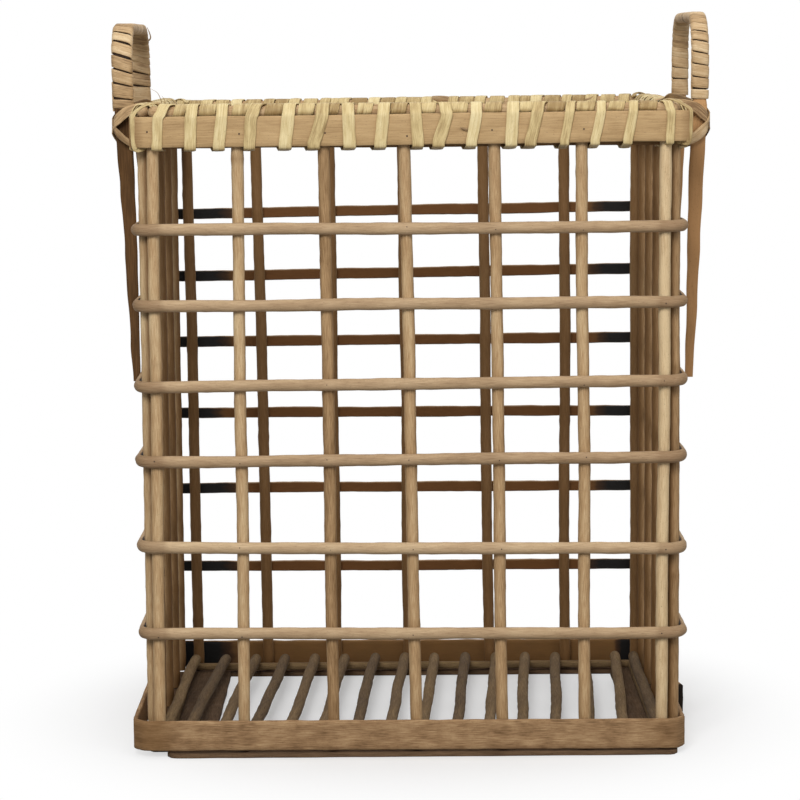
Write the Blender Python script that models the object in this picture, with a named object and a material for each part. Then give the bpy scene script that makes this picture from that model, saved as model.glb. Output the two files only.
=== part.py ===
"""Rectangular open basket of peeled rattan: round stakes inside flat-backed hoops, a laced rim,
two strap handles bound with cane, and a floor of round rods.

Metres, +Z up.  The front wall faces -Y, the handles stand on the -X and +X walls, and the origin
is on the ground at the centre of the footprint.
"""

import math

import bmesh
import bpy
import numpy as np
from mathutils import Vector

# Overall size: outside the hoops, and the top of the rim rod above the ground
BODY_LENGTH = 0.4236
BODY_DEPTH = 0.3154
RIM_HEIGHT = 0.5010

# Clearances: between pieces that touch, and between the two stakes that share a corner
SEAT_GAP = 0.0003
CORNER_PAIR_GAP = 0.0015

# Stakes: upright round rods, with the drift of each head and foot along its wall
STAKE_DIAMETER = 0.0094
STAKE_EDGE = 0.0012
FRONT_STAKE_COUNT = 7
SIDE_STAKE_COUNT = 5
FRONT_HEAD_DRIFT_SHARES = (0.19, 0.05, 0.05, -0.40, -0.09, 0.03, -0.11)
FRONT_FOOT_DRIFT_SHARES = (-0.10, -0.07, 0.38, 0.31, 0.44, 0.28, -0.34)
BACK_HEAD_DRIFT_SHARES = (0.59, -0.05, -0.25, -0.52, -0.12, 0.38, 0.03)
BACK_FOOT_DRIFT_SHARES = (1.00, 0.55, -0.05, -0.23, 0.34, 0.45, 0.03)
SIDE_HEAD_DRIFT_SHARES = (0.0, 0.08, -0.12, 0.10, 0.0)
SIDE_FOOT_DRIFT_SHARES = (0.0, -0.15, 0.10, 0.18, 0.0)

# Hoops: split rods with the flat face inwards, each bent round the stakes and lapped on the right
HOOP_HEIGHT = 0.0092
HOOP_THICKNESS = 0.0056
HOOP_CORNER_RADIUS = 0.0112
HOOP_LEVEL_SHARES = (0.8138, 0.6998, 0.5784, 0.4637, 0.3267, 0.1964)
HOOP_BACK_RISE_SHARES = (-0.37, 0.0, 0.33, -0.42, 0.22, -0.40)
HOOP_LAP_INNER_END = 0.0500
HOOP_LAP_STEP_START = 0.0720
HOOP_LAP_STEP_END = 0.0550
HOOP_LAP_OUTER_END = -0.0050
HOOP_LAP_GAP = 0.0005

# Base band: a wide flat strip round the foot of the stakes, sprung clear of them on the left
# and lapped on the right
BAND_HEIGHT = 0.0235
BAND_THICKNESS = 0.0040
BAND_EDGE = 0.0009
BAND_CORNER_RADIUS = 0.0114
BAND_LEFT_SPRING = 0.0070
BAND_RIGHT_SPRING = 0.0002
BAND_LAP_INNER_END = 0.0300
BAND_LAP_STEP_START = 0.0520
BAND_LAP_STEP_END = 0.0340
BAND_LAP_OUTER_END = -0.0330
BAND_LAP_FLARE = 0.0030

# Bottom slats, which stand on the ground
BASE_SLAT_THICKNESS = 0.0055
BASE_SLAT_EDGE = 0.0010
BASE_STRIP_WIDTH = 0.0220
BASE_STRIP_OVERHANG = 0.0045
BASE_STRIP_LEFT_INSET = 0.0160
BASE_STRIP_RIGHT_INSET = 0.0020
BASE_STRIP_END_RADIUS = 0.0080
LEFT_SLAT_WIDTH = 0.0500
RIGHT_SLAT_WIDTH = 0.0340
SIDE_SLAT_END_RADIUS = 0.0030

# Base hoop inside the stakes, and the floor rods that lie on it from front to back
BASE_HOOP_HEIGHT = 0.0055
BASE_HOOP_WIDTH = 0.0080
BASE_HOOP_EDGE = 0.0010
BASE_HOOP_CORNER_RADIUS = 0.0100
FLOOR_ROD_DIAMETER = 0.0092
FLOOR_ROD_COUNT = 16
FLOOR_SIDE_CLEARANCE = 0.0012
FLOOR_TIP_INSET = 0.0040
FLOOR_TIP_LENGTH = 0.0030
FLOOR_WAVE_SHARES = (0.03, 0.12, -0.09, 0.10, -0.14, 0.08, 0.13, -0.11,
                     0.09, -0.12, 0.14, -0.08, 0.11, -0.13, 0.10, -0.03)
FLOOR_TIP_DRIFT_SHARES = (0.1, -0.5, 0.4, -0.2, 0.6, -0.6, 0.2, 0.5,
                          -0.4, 0.3, -0.1, 0.6, -0.3, 0.2, -0.5, 0.4)

# Rim: a slat outside and a slat inside the stakes, a round rod on the stake heads, and the lacing
RIM_ROD_DIAMETER = 0.0100
RIM_ROD_CORNER_RADIUS = 0.0080
RIM_SLAT_HEIGHT = 0.0239
RIM_SLAT_THICKNESS = 0.0045
RIM_SLAT_EDGE = 0.0008
RIM_SLAT_PROUD = 0.0014
INNER_SLAT_CORNER_RADIUS = 0.0060
LACE_WIDTH = 0.0090
LACE_THICKNESS = 0.0010
LACE_BAY_SHARES = (0.18, 0.49, 0.80)
LACE_SLANT_SHARES = (0.0, 0.20, 0.24, 0.27, 0.30, 0.33)

# Handles: flat slats bent over, edge on to the wall, their tips tapered at the third hoop
LEFT_HANDLE_RISE = 0.0622
RIGHT_HANDLE_RISE = 0.0680
HANDLE_SPREAD = 0.1700
LEFT_HANDLE_WIDTH = 0.0130
RIGHT_HANDLE_WIDTH = 0.0120
HANDLE_THICKNESS = 0.0050
HANDLE_EDGE = 0.0013
HANDLE_BEND_RADIUS = 0.0300
LEFT_HANDLE_LEAN = 0.0036
RIGHT_HANDLE_LEAN = 0.0106
HANDLE_TIP_WIDTH = 0.0055
HANDLE_TIP_THICKNESS = 0.0022

# Cane binding round each handle, from just above the rim over to the other leg
WRAP_WIDTH = 0.0086
WRAP_THICKNESS = 0.0011
WRAP_CHAMFER = 0.0015
WRAP_RIM_CLEARANCE = 0.0050
WRAP_PITCH = 0.0107
WRAP_BEND_SLACK = 0.0005

# Facets
ROD_SIDES = 10
FLOOR_ROD_SIDES = 8
CORNER_STEPS = 4
HOOP_ARC_STEPS = 6
FLOOR_STATIONS = 7
LAP_STEP_SHARES = (0.0, 0.25, 0.5, 0.75, 1.0)
LAP_END_SHARES = (0.5, 1.0)
FLOOR_TIP_SHARES = (0.0, 0.33)
FLOOR_TIP_GIRTH_SHARES = (0.45, 0.80)
LACE_TWIST_STEPS = 12
HANDLE_BEND_STEPS = 8
HANDLE_LEG_SHARES = (0.0, 0.20, 0.40, 0.60, 0.75, 0.90)
GAP_SAMPLES = 4

# Places that follow from the sizes above
HOOP_INNER_X = BODY_LENGTH / 2 - HOOP_THICKNESS
HOOP_INNER_Y = BODY_DEPTH / 2 - HOOP_THICKNESS
STAKE_RADIUS = STAKE_DIAMETER / 2
ROW_X = HOOP_INNER_X - SEAT_GAP - STAKE_RADIUS
ROW_Y = HOOP_INNER_Y - SEAT_GAP - STAKE_RADIUS
FRONT_ROW_END = HOOP_INNER_X - HOOP_CORNER_RADIUS
CORNER_PAIR_REACH = STAKE_DIAMETER + CORNER_PAIR_GAP
SIDE_ROW_END = ROW_Y - math.sqrt(CORNER_PAIR_REACH ** 2 - (ROW_X - FRONT_ROW_END) ** 2)
STACK_START = STAKE_RADIUS + SEAT_GAP
STAKE_FOOT = BASE_SLAT_THICKNESS + SEAT_GAP
STAKE_HEAD = RIM_HEIGHT - RIM_ROD_DIAMETER - SEAT_GAP
RIM_ROD_LEVEL = RIM_HEIGHT - RIM_ROD_DIAMETER / 2
RIM_SLAT_TOP = STAKE_HEAD + RIM_SLAT_PROUD
RIM_SLAT_BOTTOM = RIM_SLAT_TOP - RIM_SLAT_HEIGHT
BASE_HOOP_TOP = STAKE_FOOT + BASE_HOOP_HEIGHT
FLOOR_ROD_LEVEL = BASE_HOOP_TOP + SEAT_GAP + FLOOR_ROD_DIAMETER / 2
FLOOR_ROW_END = ROW_X - STAKE_RADIUS - FLOOR_SIDE_CLEARANCE - FLOOR_ROD_DIAMETER / 2
HOOP_LEVELS = [RIM_HEIGHT * share for share in HOOP_LEVEL_SHARES]
HANDLE_TIP_LEVEL = HOOP_LEVELS[2] - HOOP_HEIGHT / 2
LEFT_HANDLE_TOP = RIM_HEIGHT + LEFT_HANDLE_RISE
RIGHT_HANDLE_TOP = RIM_HEIGHT + RIGHT_HANDLE_RISE
HANDLE_EDGE_X = BODY_LENGTH / 2 + SEAT_GAP

# Finishes: colour as it shows, and roughness
STAKE_FINISH = ("B99A74", 0.72)
HOOP_FINISH = ("BFA27C", 0.68)
BAND_FINISH = ("9C7B58", 0.78)
BASE_FINISH = ("5D4632", 0.85)
FLOOR_FINISH = ("6B563F", 0.80)
RIM_FINISH = ("B0906A", 0.70)
LACE_FINISH = ("D9C795", 0.55)
HANDLE_FINISH = ("A98B66", 0.72)
WRAP_FINISH = ("C5A67C", 0.58)

UP = Vector((0, 0, 1))
ALONG_X = Vector((1, 0, 0))
ALONG_Y = Vector((0, 1, 0))


def linear_colour(hex_colour):
    """Turn a colour as it shows, six hexadecimal digits, into linear red, green, blue and one."""
    channels = [int(hex_colour[start:start + 2], 16) / 255 for start in (0, 2, 4)]
    linear = [c / 12.92 if c <= 0.04045 else ((c + 0.055) / 1.055) ** 2.4 for c in channels]
    return (*linear, 1)


def add_piece(name, work, finish):
    """Make one named object with a material of its own from a finished bmesh."""
    bmesh.ops.recalc_face_normals(work, faces=work.faces)
    mesh = bpy.data.meshes.new(name)
    work.to_mesh(mesh)
    work.free()
    mesh.shade_smooth()
    mesh.set_sharp_from_angle(angle=math.radians(40))
    material = bpy.data.materials.new(name + "_finish")
    material.use_nodes = True
    shader = material.node_tree.nodes["Principled BSDF"]
    shader.inputs["Base Color"].default_value = linear_colour(finish[0])
    shader.inputs["Roughness"].default_value = finish[1]
    shader.inputs["Metallic"].default_value = 0
    mesh.materials.append(material)
    piece = bpy.data.objects.new(name, mesh)
    bpy.context.scene.collection.objects.link(piece)
    return piece


def loft(name, rings, finish, closed=False):
    """Skin rings of equal point count, in order, and close the ends unless the loft is a loop."""
    work = bmesh.new()
    loops = [[work.verts.new(point) for point in ring] for ring in rings]
    pairs = list(zip(loops, loops[1:]))
    if closed:
        pairs.append((loops[-1], loops[0]))
    for near, far in pairs:
        count = len(near)
        for index in range(count):
            after = (index + 1) % count
            work.faces.new((near[index], near[after], far[after], far[index]))
    if not closed:
        work.faces.new(loops[0])
        work.faces.new(loops[-1])
    return add_piece(name, work, finish)


def round_section(diameter, sides):
    """Points of a circle in a section's own two directions."""
    turns = [2 * math.pi * index / sides for index in range(sides)]
    return [(diameter / 2 * math.cos(turn), diameter / 2 * math.sin(turn)) for turn in turns]


def half_round_section():
    """Section of a split rod: flat face at zero, round back outwards."""
    turns = [math.pi * (index / HOOP_ARC_STEPS - 1 / 2) for index in range(HOOP_ARC_STEPS + 1)]
    return [(HOOP_THICKNESS * math.cos(turn), HOOP_HEIGHT / 2 * math.sin(turn)) for turn in turns]


def slat_section(thickness, height, edge):
    """Section of a flat slat from zero outwards, its four long edges eased."""
    middle = height / 2
    return [(edge, -middle), (thickness - edge, -middle), (thickness, edge - middle),
            (thickness, middle - edge), (thickness - edge, middle), (edge, middle),
            (0, middle - edge), (0, edge - middle)]


def rod(name, start, end, diameter, edge, sides, finish):
    """Straight round rod between two points, its ends eased."""
    direction = (end - start).normalized()
    across = direction.orthogonal().normalized()
    other = direction.cross(across)
    stations = ((start, diameter - 2 * edge), (start + direction * edge, diameter),
                (end - direction * edge, diameter), (end, diameter - 2 * edge))
    rings = []
    for centre, width in stations:
        section = round_section(width, sides)
        rings.append([centre + across * u + other * v for u, v in section])
    return loft(name, rings, finish)


def round_corner(half_x, half_y, radius, quarter):
    """Points and outward normals round one corner; quarter 0 is front right, then clockwise."""
    side_x = 1 if quarter in (0, 3) else -1
    side_y = -1 if quarter in (0, 1) else 1
    centre = Vector((side_x * (half_x - radius), side_y * (half_y - radius), 0))
    stations = []
    for step in range(CORNER_STEPS + 1):
        angle = -math.pi / 2 * (quarter + step / CORNER_STEPS)
        normal = Vector((math.cos(angle), math.sin(angle), 0))
        stations.append((centre + radius * normal, normal))
    return stations


def ring_path(half_x, half_y, radius):
    """The four rounded corners of a ring round the basket."""
    stations = []
    for quarter in range(4):
        stations.extend(round_corner(half_x, half_y, radius, quarter))
    return stations


def lapped_path(half_x, half_y, radius, lap_places, lap_offset, flare):
    """A ring whose second end steps out over its first end on the right wall."""
    inner_end, step_start, step_end, outer_end = lap_places
    stations = [(Vector((half_x, inner_end, 0)), ALONG_X)]
    stations.extend(ring_path(half_x, half_y, radius))
    for share in LAP_STEP_SHARES:
        along = step_start + (step_end - step_start) * share
        ease = share * share * (3 - 2 * share)
        stations.append((Vector((half_x + lap_offset * ease, along, 0)), ALONG_X))
    for share in LAP_END_SHARES:
        along = step_end + (outer_end - step_end) * share
        out = half_x + lap_offset + flare * share * share
        stations.append((Vector((out, along, 0)), ALONG_X))
    return stations


def sweep(name, stations, section, level, rise, half_y, finish, closed=False):
    """Carry a section along a level path; rise lifts the back run above the front run."""
    rings = []
    for point, normal in stations:
        height = level + rise * (point.y + half_y) / (2 * half_y)
        rings.append([point + normal * u + UP * (height + v) for u, v in section])
    return loft(name, rings, finish, closed)


def stake_places(end, count, shares):
    """Places of a row of stakes along its wall, each drifted by a share of its diameter."""
    spacing = 2 * end / (count - 1)
    return [spacing * index - end + STAKE_DIAMETER * shares[index] for index in range(count)]


def stake_rows():
    """Each wall's fixed coordinate, and the places of its stakes' heads and feet along it."""
    rows = {}
    for wall, fixed, end, count, head_shares, foot_shares in (
            ("front", -ROW_Y, FRONT_ROW_END, FRONT_STAKE_COUNT,
             FRONT_HEAD_DRIFT_SHARES, FRONT_FOOT_DRIFT_SHARES),
            ("back", ROW_Y, FRONT_ROW_END, FRONT_STAKE_COUNT,
             BACK_HEAD_DRIFT_SHARES, BACK_FOOT_DRIFT_SHARES),
            ("left", -ROW_X, SIDE_ROW_END, SIDE_STAKE_COUNT,
             SIDE_HEAD_DRIFT_SHARES, SIDE_FOOT_DRIFT_SHARES),
            ("right", ROW_X, SIDE_ROW_END, SIDE_STAKE_COUNT,
             SIDE_HEAD_DRIFT_SHARES, SIDE_FOOT_DRIFT_SHARES)):
        heads = stake_places(end, count, head_shares)
        rows[wall] = (fixed, heads, stake_places(end, count, foot_shares))
    return rows


def build_stakes():
    """Four rows of upright stakes, from the bottom slats to the rim rod."""
    for wall, (fixed, heads, feet) in stake_rows().items():
        for index, (head_place, foot_place) in enumerate(zip(heads, feet)):
            if wall in ("front", "back"):
                foot = Vector((foot_place, fixed, STAKE_FOOT))
                head = Vector((head_place, fixed, STAKE_HEAD))
            else:
                foot = Vector((fixed, foot_place, STAKE_FOOT))
                head = Vector((fixed, head_place, STAKE_HEAD))
            name = f"{wall}_stake_{index + 1}"
            rod(name, foot, head, STAKE_DIAMETER, STAKE_EDGE, ROD_SIDES, STAKE_FINISH)


def build_hoops():
    """Six half-round hoops round the outside of the stakes, lapped on the right wall."""
    places = (HOOP_LAP_INNER_END, HOOP_LAP_STEP_START, HOOP_LAP_STEP_END, HOOP_LAP_OUTER_END)
    offset = HOOP_THICKNESS + HOOP_LAP_GAP
    path = lapped_path(HOOP_INNER_X, HOOP_INNER_Y, HOOP_CORNER_RADIUS, places, offset, 0)
    for index, level in enumerate(HOOP_LEVELS):
        rise = HOOP_HEIGHT * HOOP_BACK_RISE_SHARES[index]
        sweep(f"hoop_{index + 1}", path, half_round_section(), level, rise, HOOP_INNER_Y,
              HOOP_FINISH)


def build_base_band():
    """Wide flat band round the foot of the stakes, its outer end sprung clear on the right."""
    places = (BAND_LAP_INNER_END, BAND_LAP_STEP_START, BAND_LAP_STEP_END, BAND_LAP_OUTER_END)
    half_x = HOOP_INNER_X + (BAND_LEFT_SPRING + BAND_RIGHT_SPRING) / 2
    shift = ALONG_X * (BAND_RIGHT_SPRING - BAND_LEFT_SPRING) / 2
    offset = BAND_THICKNESS + SEAT_GAP
    path = lapped_path(half_x, HOOP_INNER_Y, BAND_CORNER_RADIUS, places, offset, BAND_LAP_FLARE)
    path = [(point + shift, normal) for point, normal in path]
    level = BASE_SLAT_THICKNESS + SEAT_GAP + BAND_HEIGHT / 2
    section = slat_section(BAND_THICKNESS, BAND_HEIGHT, BAND_EDGE)
    sweep("base_band", path, section, level, 0, HOOP_INNER_Y, BAND_FINISH)


def flat_slat(name, low, high, end_radius, finish):
    """Slat lying on the ground: a rounded oblong between two corners, its edges eased."""
    half = (high - low) / 2
    centre = (high + low) / 2
    rings = []
    for level, inset in ((0, BASE_SLAT_EDGE), (BASE_SLAT_EDGE, 0),
                         (BASE_SLAT_THICKNESS - BASE_SLAT_EDGE, 0),
                         (BASE_SLAT_THICKNESS, BASE_SLAT_EDGE)):
        ring = []
        for quarter in range(4):
            stations = round_corner(half.x - inset, half.y - inset, end_radius - inset, quarter)
            ring.extend(centre + point + UP * level for point, normal in stations)
        rings.append(ring)
    return loft(name, rings, finish)


def build_base_slats():
    """Strips under the front and back stakes, and wide slats under the left and right ones."""
    outer = HOOP_INNER_Y + BASE_STRIP_OVERHANG
    inner = outer - BASE_STRIP_WIDTH
    for wall, side in (("front", -1), ("back", 1)):
        edges = sorted((side * outer, side * inner))
        low = Vector((BASE_STRIP_LEFT_INSET - HOOP_INNER_X, edges[0], 0))
        high = Vector((HOOP_INNER_X - BASE_STRIP_RIGHT_INSET, edges[1], 0))
        flat_slat(f"{wall}_base_strip", low, high, BASE_STRIP_END_RADIUS, BASE_FINISH)
    reach = inner - SEAT_GAP
    for wall, side, width in (("left", -1, LEFT_SLAT_WIDTH), ("right", 1, RIGHT_SLAT_WIDTH)):
        edges = sorted((side * HOOP_INNER_X, side * (HOOP_INNER_X - width)))
        low = Vector((edges[0], -reach, 0))
        high = Vector((edges[1], reach, 0))
        flat_slat(f"{wall}_base_slat", low, high, SIDE_SLAT_END_RADIUS, BASE_FINISH)


def build_base_hoop():
    """Flat hoop inside the feet of the stakes, which carries the floor rods."""
    half_x = ROW_X - STACK_START
    half_y = ROW_Y - STACK_START
    path = ring_path(half_x, half_y, BASE_HOOP_CORNER_RADIUS)
    section = [(u - BASE_HOOP_WIDTH, v) for u, v in
               slat_section(BASE_HOOP_WIDTH, BASE_HOOP_HEIGHT, BASE_HOOP_EDGE)]
    level = STAKE_FOOT + BASE_HOOP_HEIGHT / 2
    sweep("base_hoop", path, section, level, 0, half_y, BASE_FINISH, closed=True)


def build_floor_rods():
    """Round rods from front to back, a little wavy, with domed tips."""
    reach = ROW_Y - STACK_START - FLOOR_TIP_INSET
    spacing = 2 * FLOOR_ROW_END / (FLOOR_ROD_COUNT - 1)
    for index in range(FLOOR_ROD_COUNT):
        drift = FLOOR_TIP_LENGTH * FLOOR_TIP_DRIFT_SHARES[index]
        front = -reach + max(drift, 0)
        back = reach + min(drift, 0)
        wave = FLOOR_ROD_DIAMETER * FLOOR_WAVE_SHARES[index]
        body_start = front + FLOOR_TIP_LENGTH
        body_end = back - FLOOR_TIP_LENGTH
        tips = [(FLOOR_TIP_LENGTH * share, girth)
                for share, girth in zip(FLOOR_TIP_SHARES, FLOOR_TIP_GIRTH_SHARES)]
        stations = [(front + inset, girth) for inset, girth in tips]
        for step in range(FLOOR_STATIONS):
            share = step / (FLOOR_STATIONS - 1)
            stations.append((body_start + (body_end - body_start) * share, 1))
        stations.extend((back - inset, girth) for inset, girth in reversed(tips))
        rings = []
        for along, girth in stations:
            turn = 2 * math.pi * (along - front) / (back - front) + index
            middle = spacing * index - FLOOR_ROW_END + wave * math.sin(turn)
            centre = Vector((middle, along, FLOOR_ROD_LEVEL))
            section = round_section(FLOOR_ROD_DIAMETER * girth, FLOOR_ROD_SIDES)
            rings.append([centre + ALONG_X * u + UP * v for u, v in section])
        loft(f"floor_rod_{index + 1}", rings, FLOOR_FINISH)


def build_rim():
    """Outer and inner slats that clamp the stake heads, and the round rod on top of them."""
    section = slat_section(RIM_SLAT_THICKNESS, RIM_SLAT_HEIGHT, RIM_SLAT_EDGE)
    level = (RIM_SLAT_TOP + RIM_SLAT_BOTTOM) / 2
    outer_path = ring_path(HOOP_INNER_X, HOOP_INNER_Y, HOOP_CORNER_RADIUS)
    sweep("rim_outer_slat", outer_path, section, level, 0, HOOP_INNER_Y, RIM_FINISH, closed=True)
    half_x = ROW_X - STACK_START
    half_y = ROW_Y - STACK_START
    inner_path = ring_path(half_x, half_y, INNER_SLAT_CORNER_RADIUS)
    inner_section = [(u - RIM_SLAT_THICKNESS, v) for u, v in section]
    sweep("rim_inner_slat", inner_path, inner_section, level, 0, half_y, RIM_FINISH, closed=True)
    rod_path = ring_path(ROW_X, ROW_Y, RIM_ROD_CORNER_RADIUS)
    rod_section = round_section(RIM_ROD_DIAMETER, ROD_SIDES)
    sweep("rim_rod", rod_path, rod_section, RIM_ROD_LEVEL, 0, ROW_Y, RIM_FINISH, closed=True)


def mitres(outline):
    """Outward mitre of each corner of a closed anticlockwise outline, per unit of wall."""
    points = np.array(outline)
    ahead = np.roll(points, -1, axis=0) - points
    ahead /= np.linalg.norm(ahead, axis=1)[:, None]
    normals = np.stack((ahead[:, 1], -ahead[:, 0]), axis=1)
    before = np.roll(normals, 1, axis=0)
    scale = 1 + np.sum(normals * before, axis=1)
    return (normals + before) / scale[:, None]


def least_self_gap(rings, loop_points):
    """Least distance between the edges of a strip's turns, on points along both edges."""
    corners = np.array([[tuple(point) for point in ring] for ring in rings])
    shares = np.arange(GAP_SAMPLES) / GAP_SAMPLES
    steps = corners[1:] - corners[:-1]
    filled = corners[:-1, None] + shares[None, :, None, None] * steps[:, None]
    points = np.concatenate((filled.reshape(-1, corners.shape[1], 3), corners[-1:]))
    apart = loop_points * GAP_SAMPLES // 2
    least = math.inf
    for index in range(len(points) - apart):
        later = points[index + apart:].reshape(-1, 3)
        for corner in points[index]:
            least = min(least, np.min(np.linalg.norm(later - corner, axis=1)))
    return least


def strip_ring(middle, wall, half):
    """Four corners of a flat strip's section."""
    return [middle - wall - half, middle + wall - half, middle + wall + half, middle - wall + half]


def wind(name, outline, places, width, thickness, finish):
    """Wind one flat strip round an outline; each place gives its centre, axes and width line."""
    corner_mitres = mitres(outline)
    count = len(outline)
    sections = []
    for index, (centre, axis_u, axis_v, along) in enumerate(places):
        u, v = outline[index % count]
        mitre_u, mitre_v = corner_mitres[index % count] * thickness / 2
        middle = centre + axis_u * u + axis_v * v
        wall = axis_u * mitre_u + axis_v * mitre_v
        sections.append(strip_ring(middle, wall, along * width / 2))
    rings = []
    for index, (near, far) in enumerate(zip(sections, sections[1:] + sections[-1:])):
        after = places[min(index + 1, len(places) - 1)]
        turned = places[index][3].dot(after[3]) < math.cos(math.pi / 4)
        steps = LACE_TWIST_STEPS if turned else 1
        for step in range(steps):
            rings.append([a.lerp(b, step / steps) for a, b in zip(near, far)])
    print(f"{name}: least gap to itself {least_self_gap(rings, count) * 1000:.2f} mm")
    return loft(name, rings, finish)


def lace_outline():
    """Middle line of the lacing round the rim: up outside, over the rod, down inside."""
    half = LACE_THICKNESS / 2
    out = STACK_START + RIM_SLAT_THICKNESS + SEAT_GAP + half
    low = RIM_SLAT_BOTTOM - SEAT_GAP - half
    high = RIM_SLAT_TOP + SEAT_GAP
    over = (RIM_ROD_DIAMETER / 2 + SEAT_GAP + half) / math.cos(math.pi / 8)
    crown = [(over * math.cos(math.pi * step / 4), RIM_ROD_LEVEL + over * math.sin(math.pi * step / 4))
             for step in (1, 2, 3)]
    return [(out, low), (out, high), *crown, (-out, high), (-out, low)]


def lace_stops():
    """Each loop's wall and its place along it, anticlockwise round the rim from the front left."""
    rows = stake_rows()
    walls = (("front", ALONG_X, -ALONG_Y), ("right", ALONG_Y, ALONG_X),
             ("back", -ALONG_X, ALONG_Y), ("left", -ALONG_Y, -ALONG_X))
    stops = []
    for wall, along, outward in walls:
        fixed, heads = rows[wall][:2]
        forward = along.x + along.y
        heads = sorted(head * forward for head in heads)
        row = outward * abs(fixed)
        for near, far in zip(heads, heads[1:]):
            for share in LACE_BAY_SHARES:
                stops.append((along, outward, row, near + (far - near) * share))
    return stops


def build_lacing():
    """One cane strip laced round the rim: it crosses under the slats between the stakes."""
    stops = lace_stops()
    inner_radius = max(INNER_SLAT_CORNER_RADIUS - RIM_SLAT_THICKNESS, 0)
    inner_reach = STACK_START + RIM_SLAT_THICKNESS + SEAT_GAP + inner_radius + LACE_WIDTH / 2
    places = []
    for index, (along, outward, row, place) in enumerate(stops):
        row_end = (ROW_X if along.x else ROW_Y) - inner_reach
        pitch = stops[(index + 1) % len(stops)][3] - place
        if pitch <= 0:
            pitch = place - stops[index - 1][3]
        for step, share in enumerate(LACE_SLANT_SHARES):
            shift = place + pitch * share
            if step == len(LACE_SLANT_SHARES) - 1:
                shift = min(shift, row_end)
            places.append((row + along * shift, outward, UP, along))
        if index + 1 < len(stops):
            along, outward, row, place = stops[index + 1]
            places.append((row + along * place, outward, UP, along))
    wind("rim_lacing", lace_outline(), places, LACE_WIDTH, LACE_THICKNESS, LACE_FINISH)


def handle_taper(level, leg):
    """Share of a handle's full section at a height: least at the tip, full at the leg's top."""
    share = (level - HANDLE_TIP_LEVEL) / (leg - HANDLE_TIP_LEVEL)
    return min(max(share, 0), 1)


def handle_width(taper, width):
    """Width of a handle where it has that share of its full section."""
    return HANDLE_TIP_WIDTH + (width - HANDLE_TIP_WIDTH) * taper


def handle_line(side, top, width, lean):
    """Return a function from the run along a handle's middle line to its place, and the length."""
    half_spread = HANDLE_SPREAD / 2
    skin = HANDLE_THICKNESS / 2 + SEAT_GAP + WRAP_THICKNESS
    leg = top - skin - HANDLE_BEND_RADIUS
    arc = math.pi / 2 * HANDLE_BEND_RADIUS
    total = 2 * (leg + arc + half_spread - HANDLE_BEND_RADIUS)

    def place(run):
        mirrored = run > total / 2
        near = total - run if mirrored else run
        angle = min(max((near - leg) / HANDLE_BEND_RADIUS, 0), math.pi / 2)
        bar = max(near - leg - arc, 0)
        y = HANDLE_BEND_RADIUS * (1 - math.cos(angle)) - half_spread + bar
        z = min(near, leg) + HANDLE_BEND_RADIUS * math.sin(angle)
        normal = Vector((0, -math.cos(angle), math.sin(angle)))
        along = Vector((0, math.sin(angle), math.cos(angle)))
        if mirrored:
            y = -y
            normal.y = -normal.y
            along.z = -along.z
        reach = top - HANDLE_TIP_LEVEL
        lift = (z - HANDLE_TIP_LEVEL) / reach
        centre = handle_width(handle_taper(z, leg), width) / 2
        x = side * (HANDLE_EDGE_X + lean * lift * lift + centre)
        along.x = side * 2 * lean * lift / reach * along.z
        return Vector((x, y, z)), normal, along

    return place, total, leg, arc


def build_handle(wall, side, top, width, lean):
    """One bent slat handle, from tip to tip."""
    place, total, leg, arc = handle_line(side, top, width, lean)
    runs = [HANDLE_TIP_LEVEL + (leg - HANDLE_TIP_LEVEL) * share for share in HANDLE_LEG_SHARES]
    runs.extend(leg + arc * step / HANDLE_BEND_STEPS for step in range(HANDLE_BEND_STEPS + 1))
    runs.extend([total - run for run in reversed(runs)])
    rings = []
    for run in runs:
        centre, normal, along = place(run)
        taper = handle_taper(centre.z, leg)
        thickness = HANDLE_TIP_THICKNESS + (HANDLE_THICKNESS - HANDLE_TIP_THICKNESS) * taper
        edge = HANDLE_EDGE * thickness / HANDLE_THICKNESS
        section = slat_section(thickness, handle_width(taper, width), edge)
        rings.append([centre + normal * (u - thickness / 2) + ALONG_X * v for u, v in section])
    loft(f"{wall}_handle", rings, HANDLE_FINISH)


def build_handle_wrap(wall, side, top, width, lean):
    """Cane binding wound round a handle's upper part in one unbroken strip."""
    place, total, leg, arc = handle_line(side, top, width, lean)
    skin = SEAT_GAP + WRAP_THICKNESS / 2
    half_u = HANDLE_THICKNESS / 2 + skin
    half_v = width / 2 + skin
    cut_u = half_u - WRAP_CHAMFER
    cut_v = half_v - WRAP_CHAMFER
    under_u = half_u + WRAP_BEND_SLACK
    cut_under = under_u - WRAP_CHAMFER
    outline = [(half_u, -cut_v), (half_u, cut_v), (cut_u, half_v), (-cut_under, half_v),
               (-under_u, cut_v), (-under_u, -cut_v), (-cut_under, -half_v), (cut_u, -half_v)]
    start = RIM_HEIGHT + WRAP_RIM_CLEARANCE + WRAP_WIDTH / 2
    wound = total - 2 * start
    steps = round(wound / WRAP_PITCH) * len(outline)
    places = []
    for step in range(steps + 1):
        centre, normal, along = place(start + wound * step / steps)
        places.append((centre, normal, ALONG_X, along))
    wind(f"{wall}_handle_wrap", outline, places, WRAP_WIDTH, WRAP_THICKNESS, WRAP_FINISH)


def main():
    """Clear the scene and build the basket from the ground up."""
    for old in list(bpy.data.objects):
        bpy.data.objects.remove(old, do_unlink=True)
    build_base_slats()
    build_base_hoop()
    build_floor_rods()
    build_base_band()
    build_stakes()
    build_hoops()
    build_rim()
    build_lacing()
    for wall, side, top, width, lean in (
            ("left", -1, LEFT_HANDLE_TOP, LEFT_HANDLE_WIDTH, LEFT_HANDLE_LEAN),
            ("right", 1, RIGHT_HANDLE_TOP, RIGHT_HANDLE_WIDTH, RIGHT_HANDLE_LEAN)):
        build_handle(wall, side, top, width, lean)
        build_handle_wrap(wall, side, top, width, lean)


main()
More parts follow.
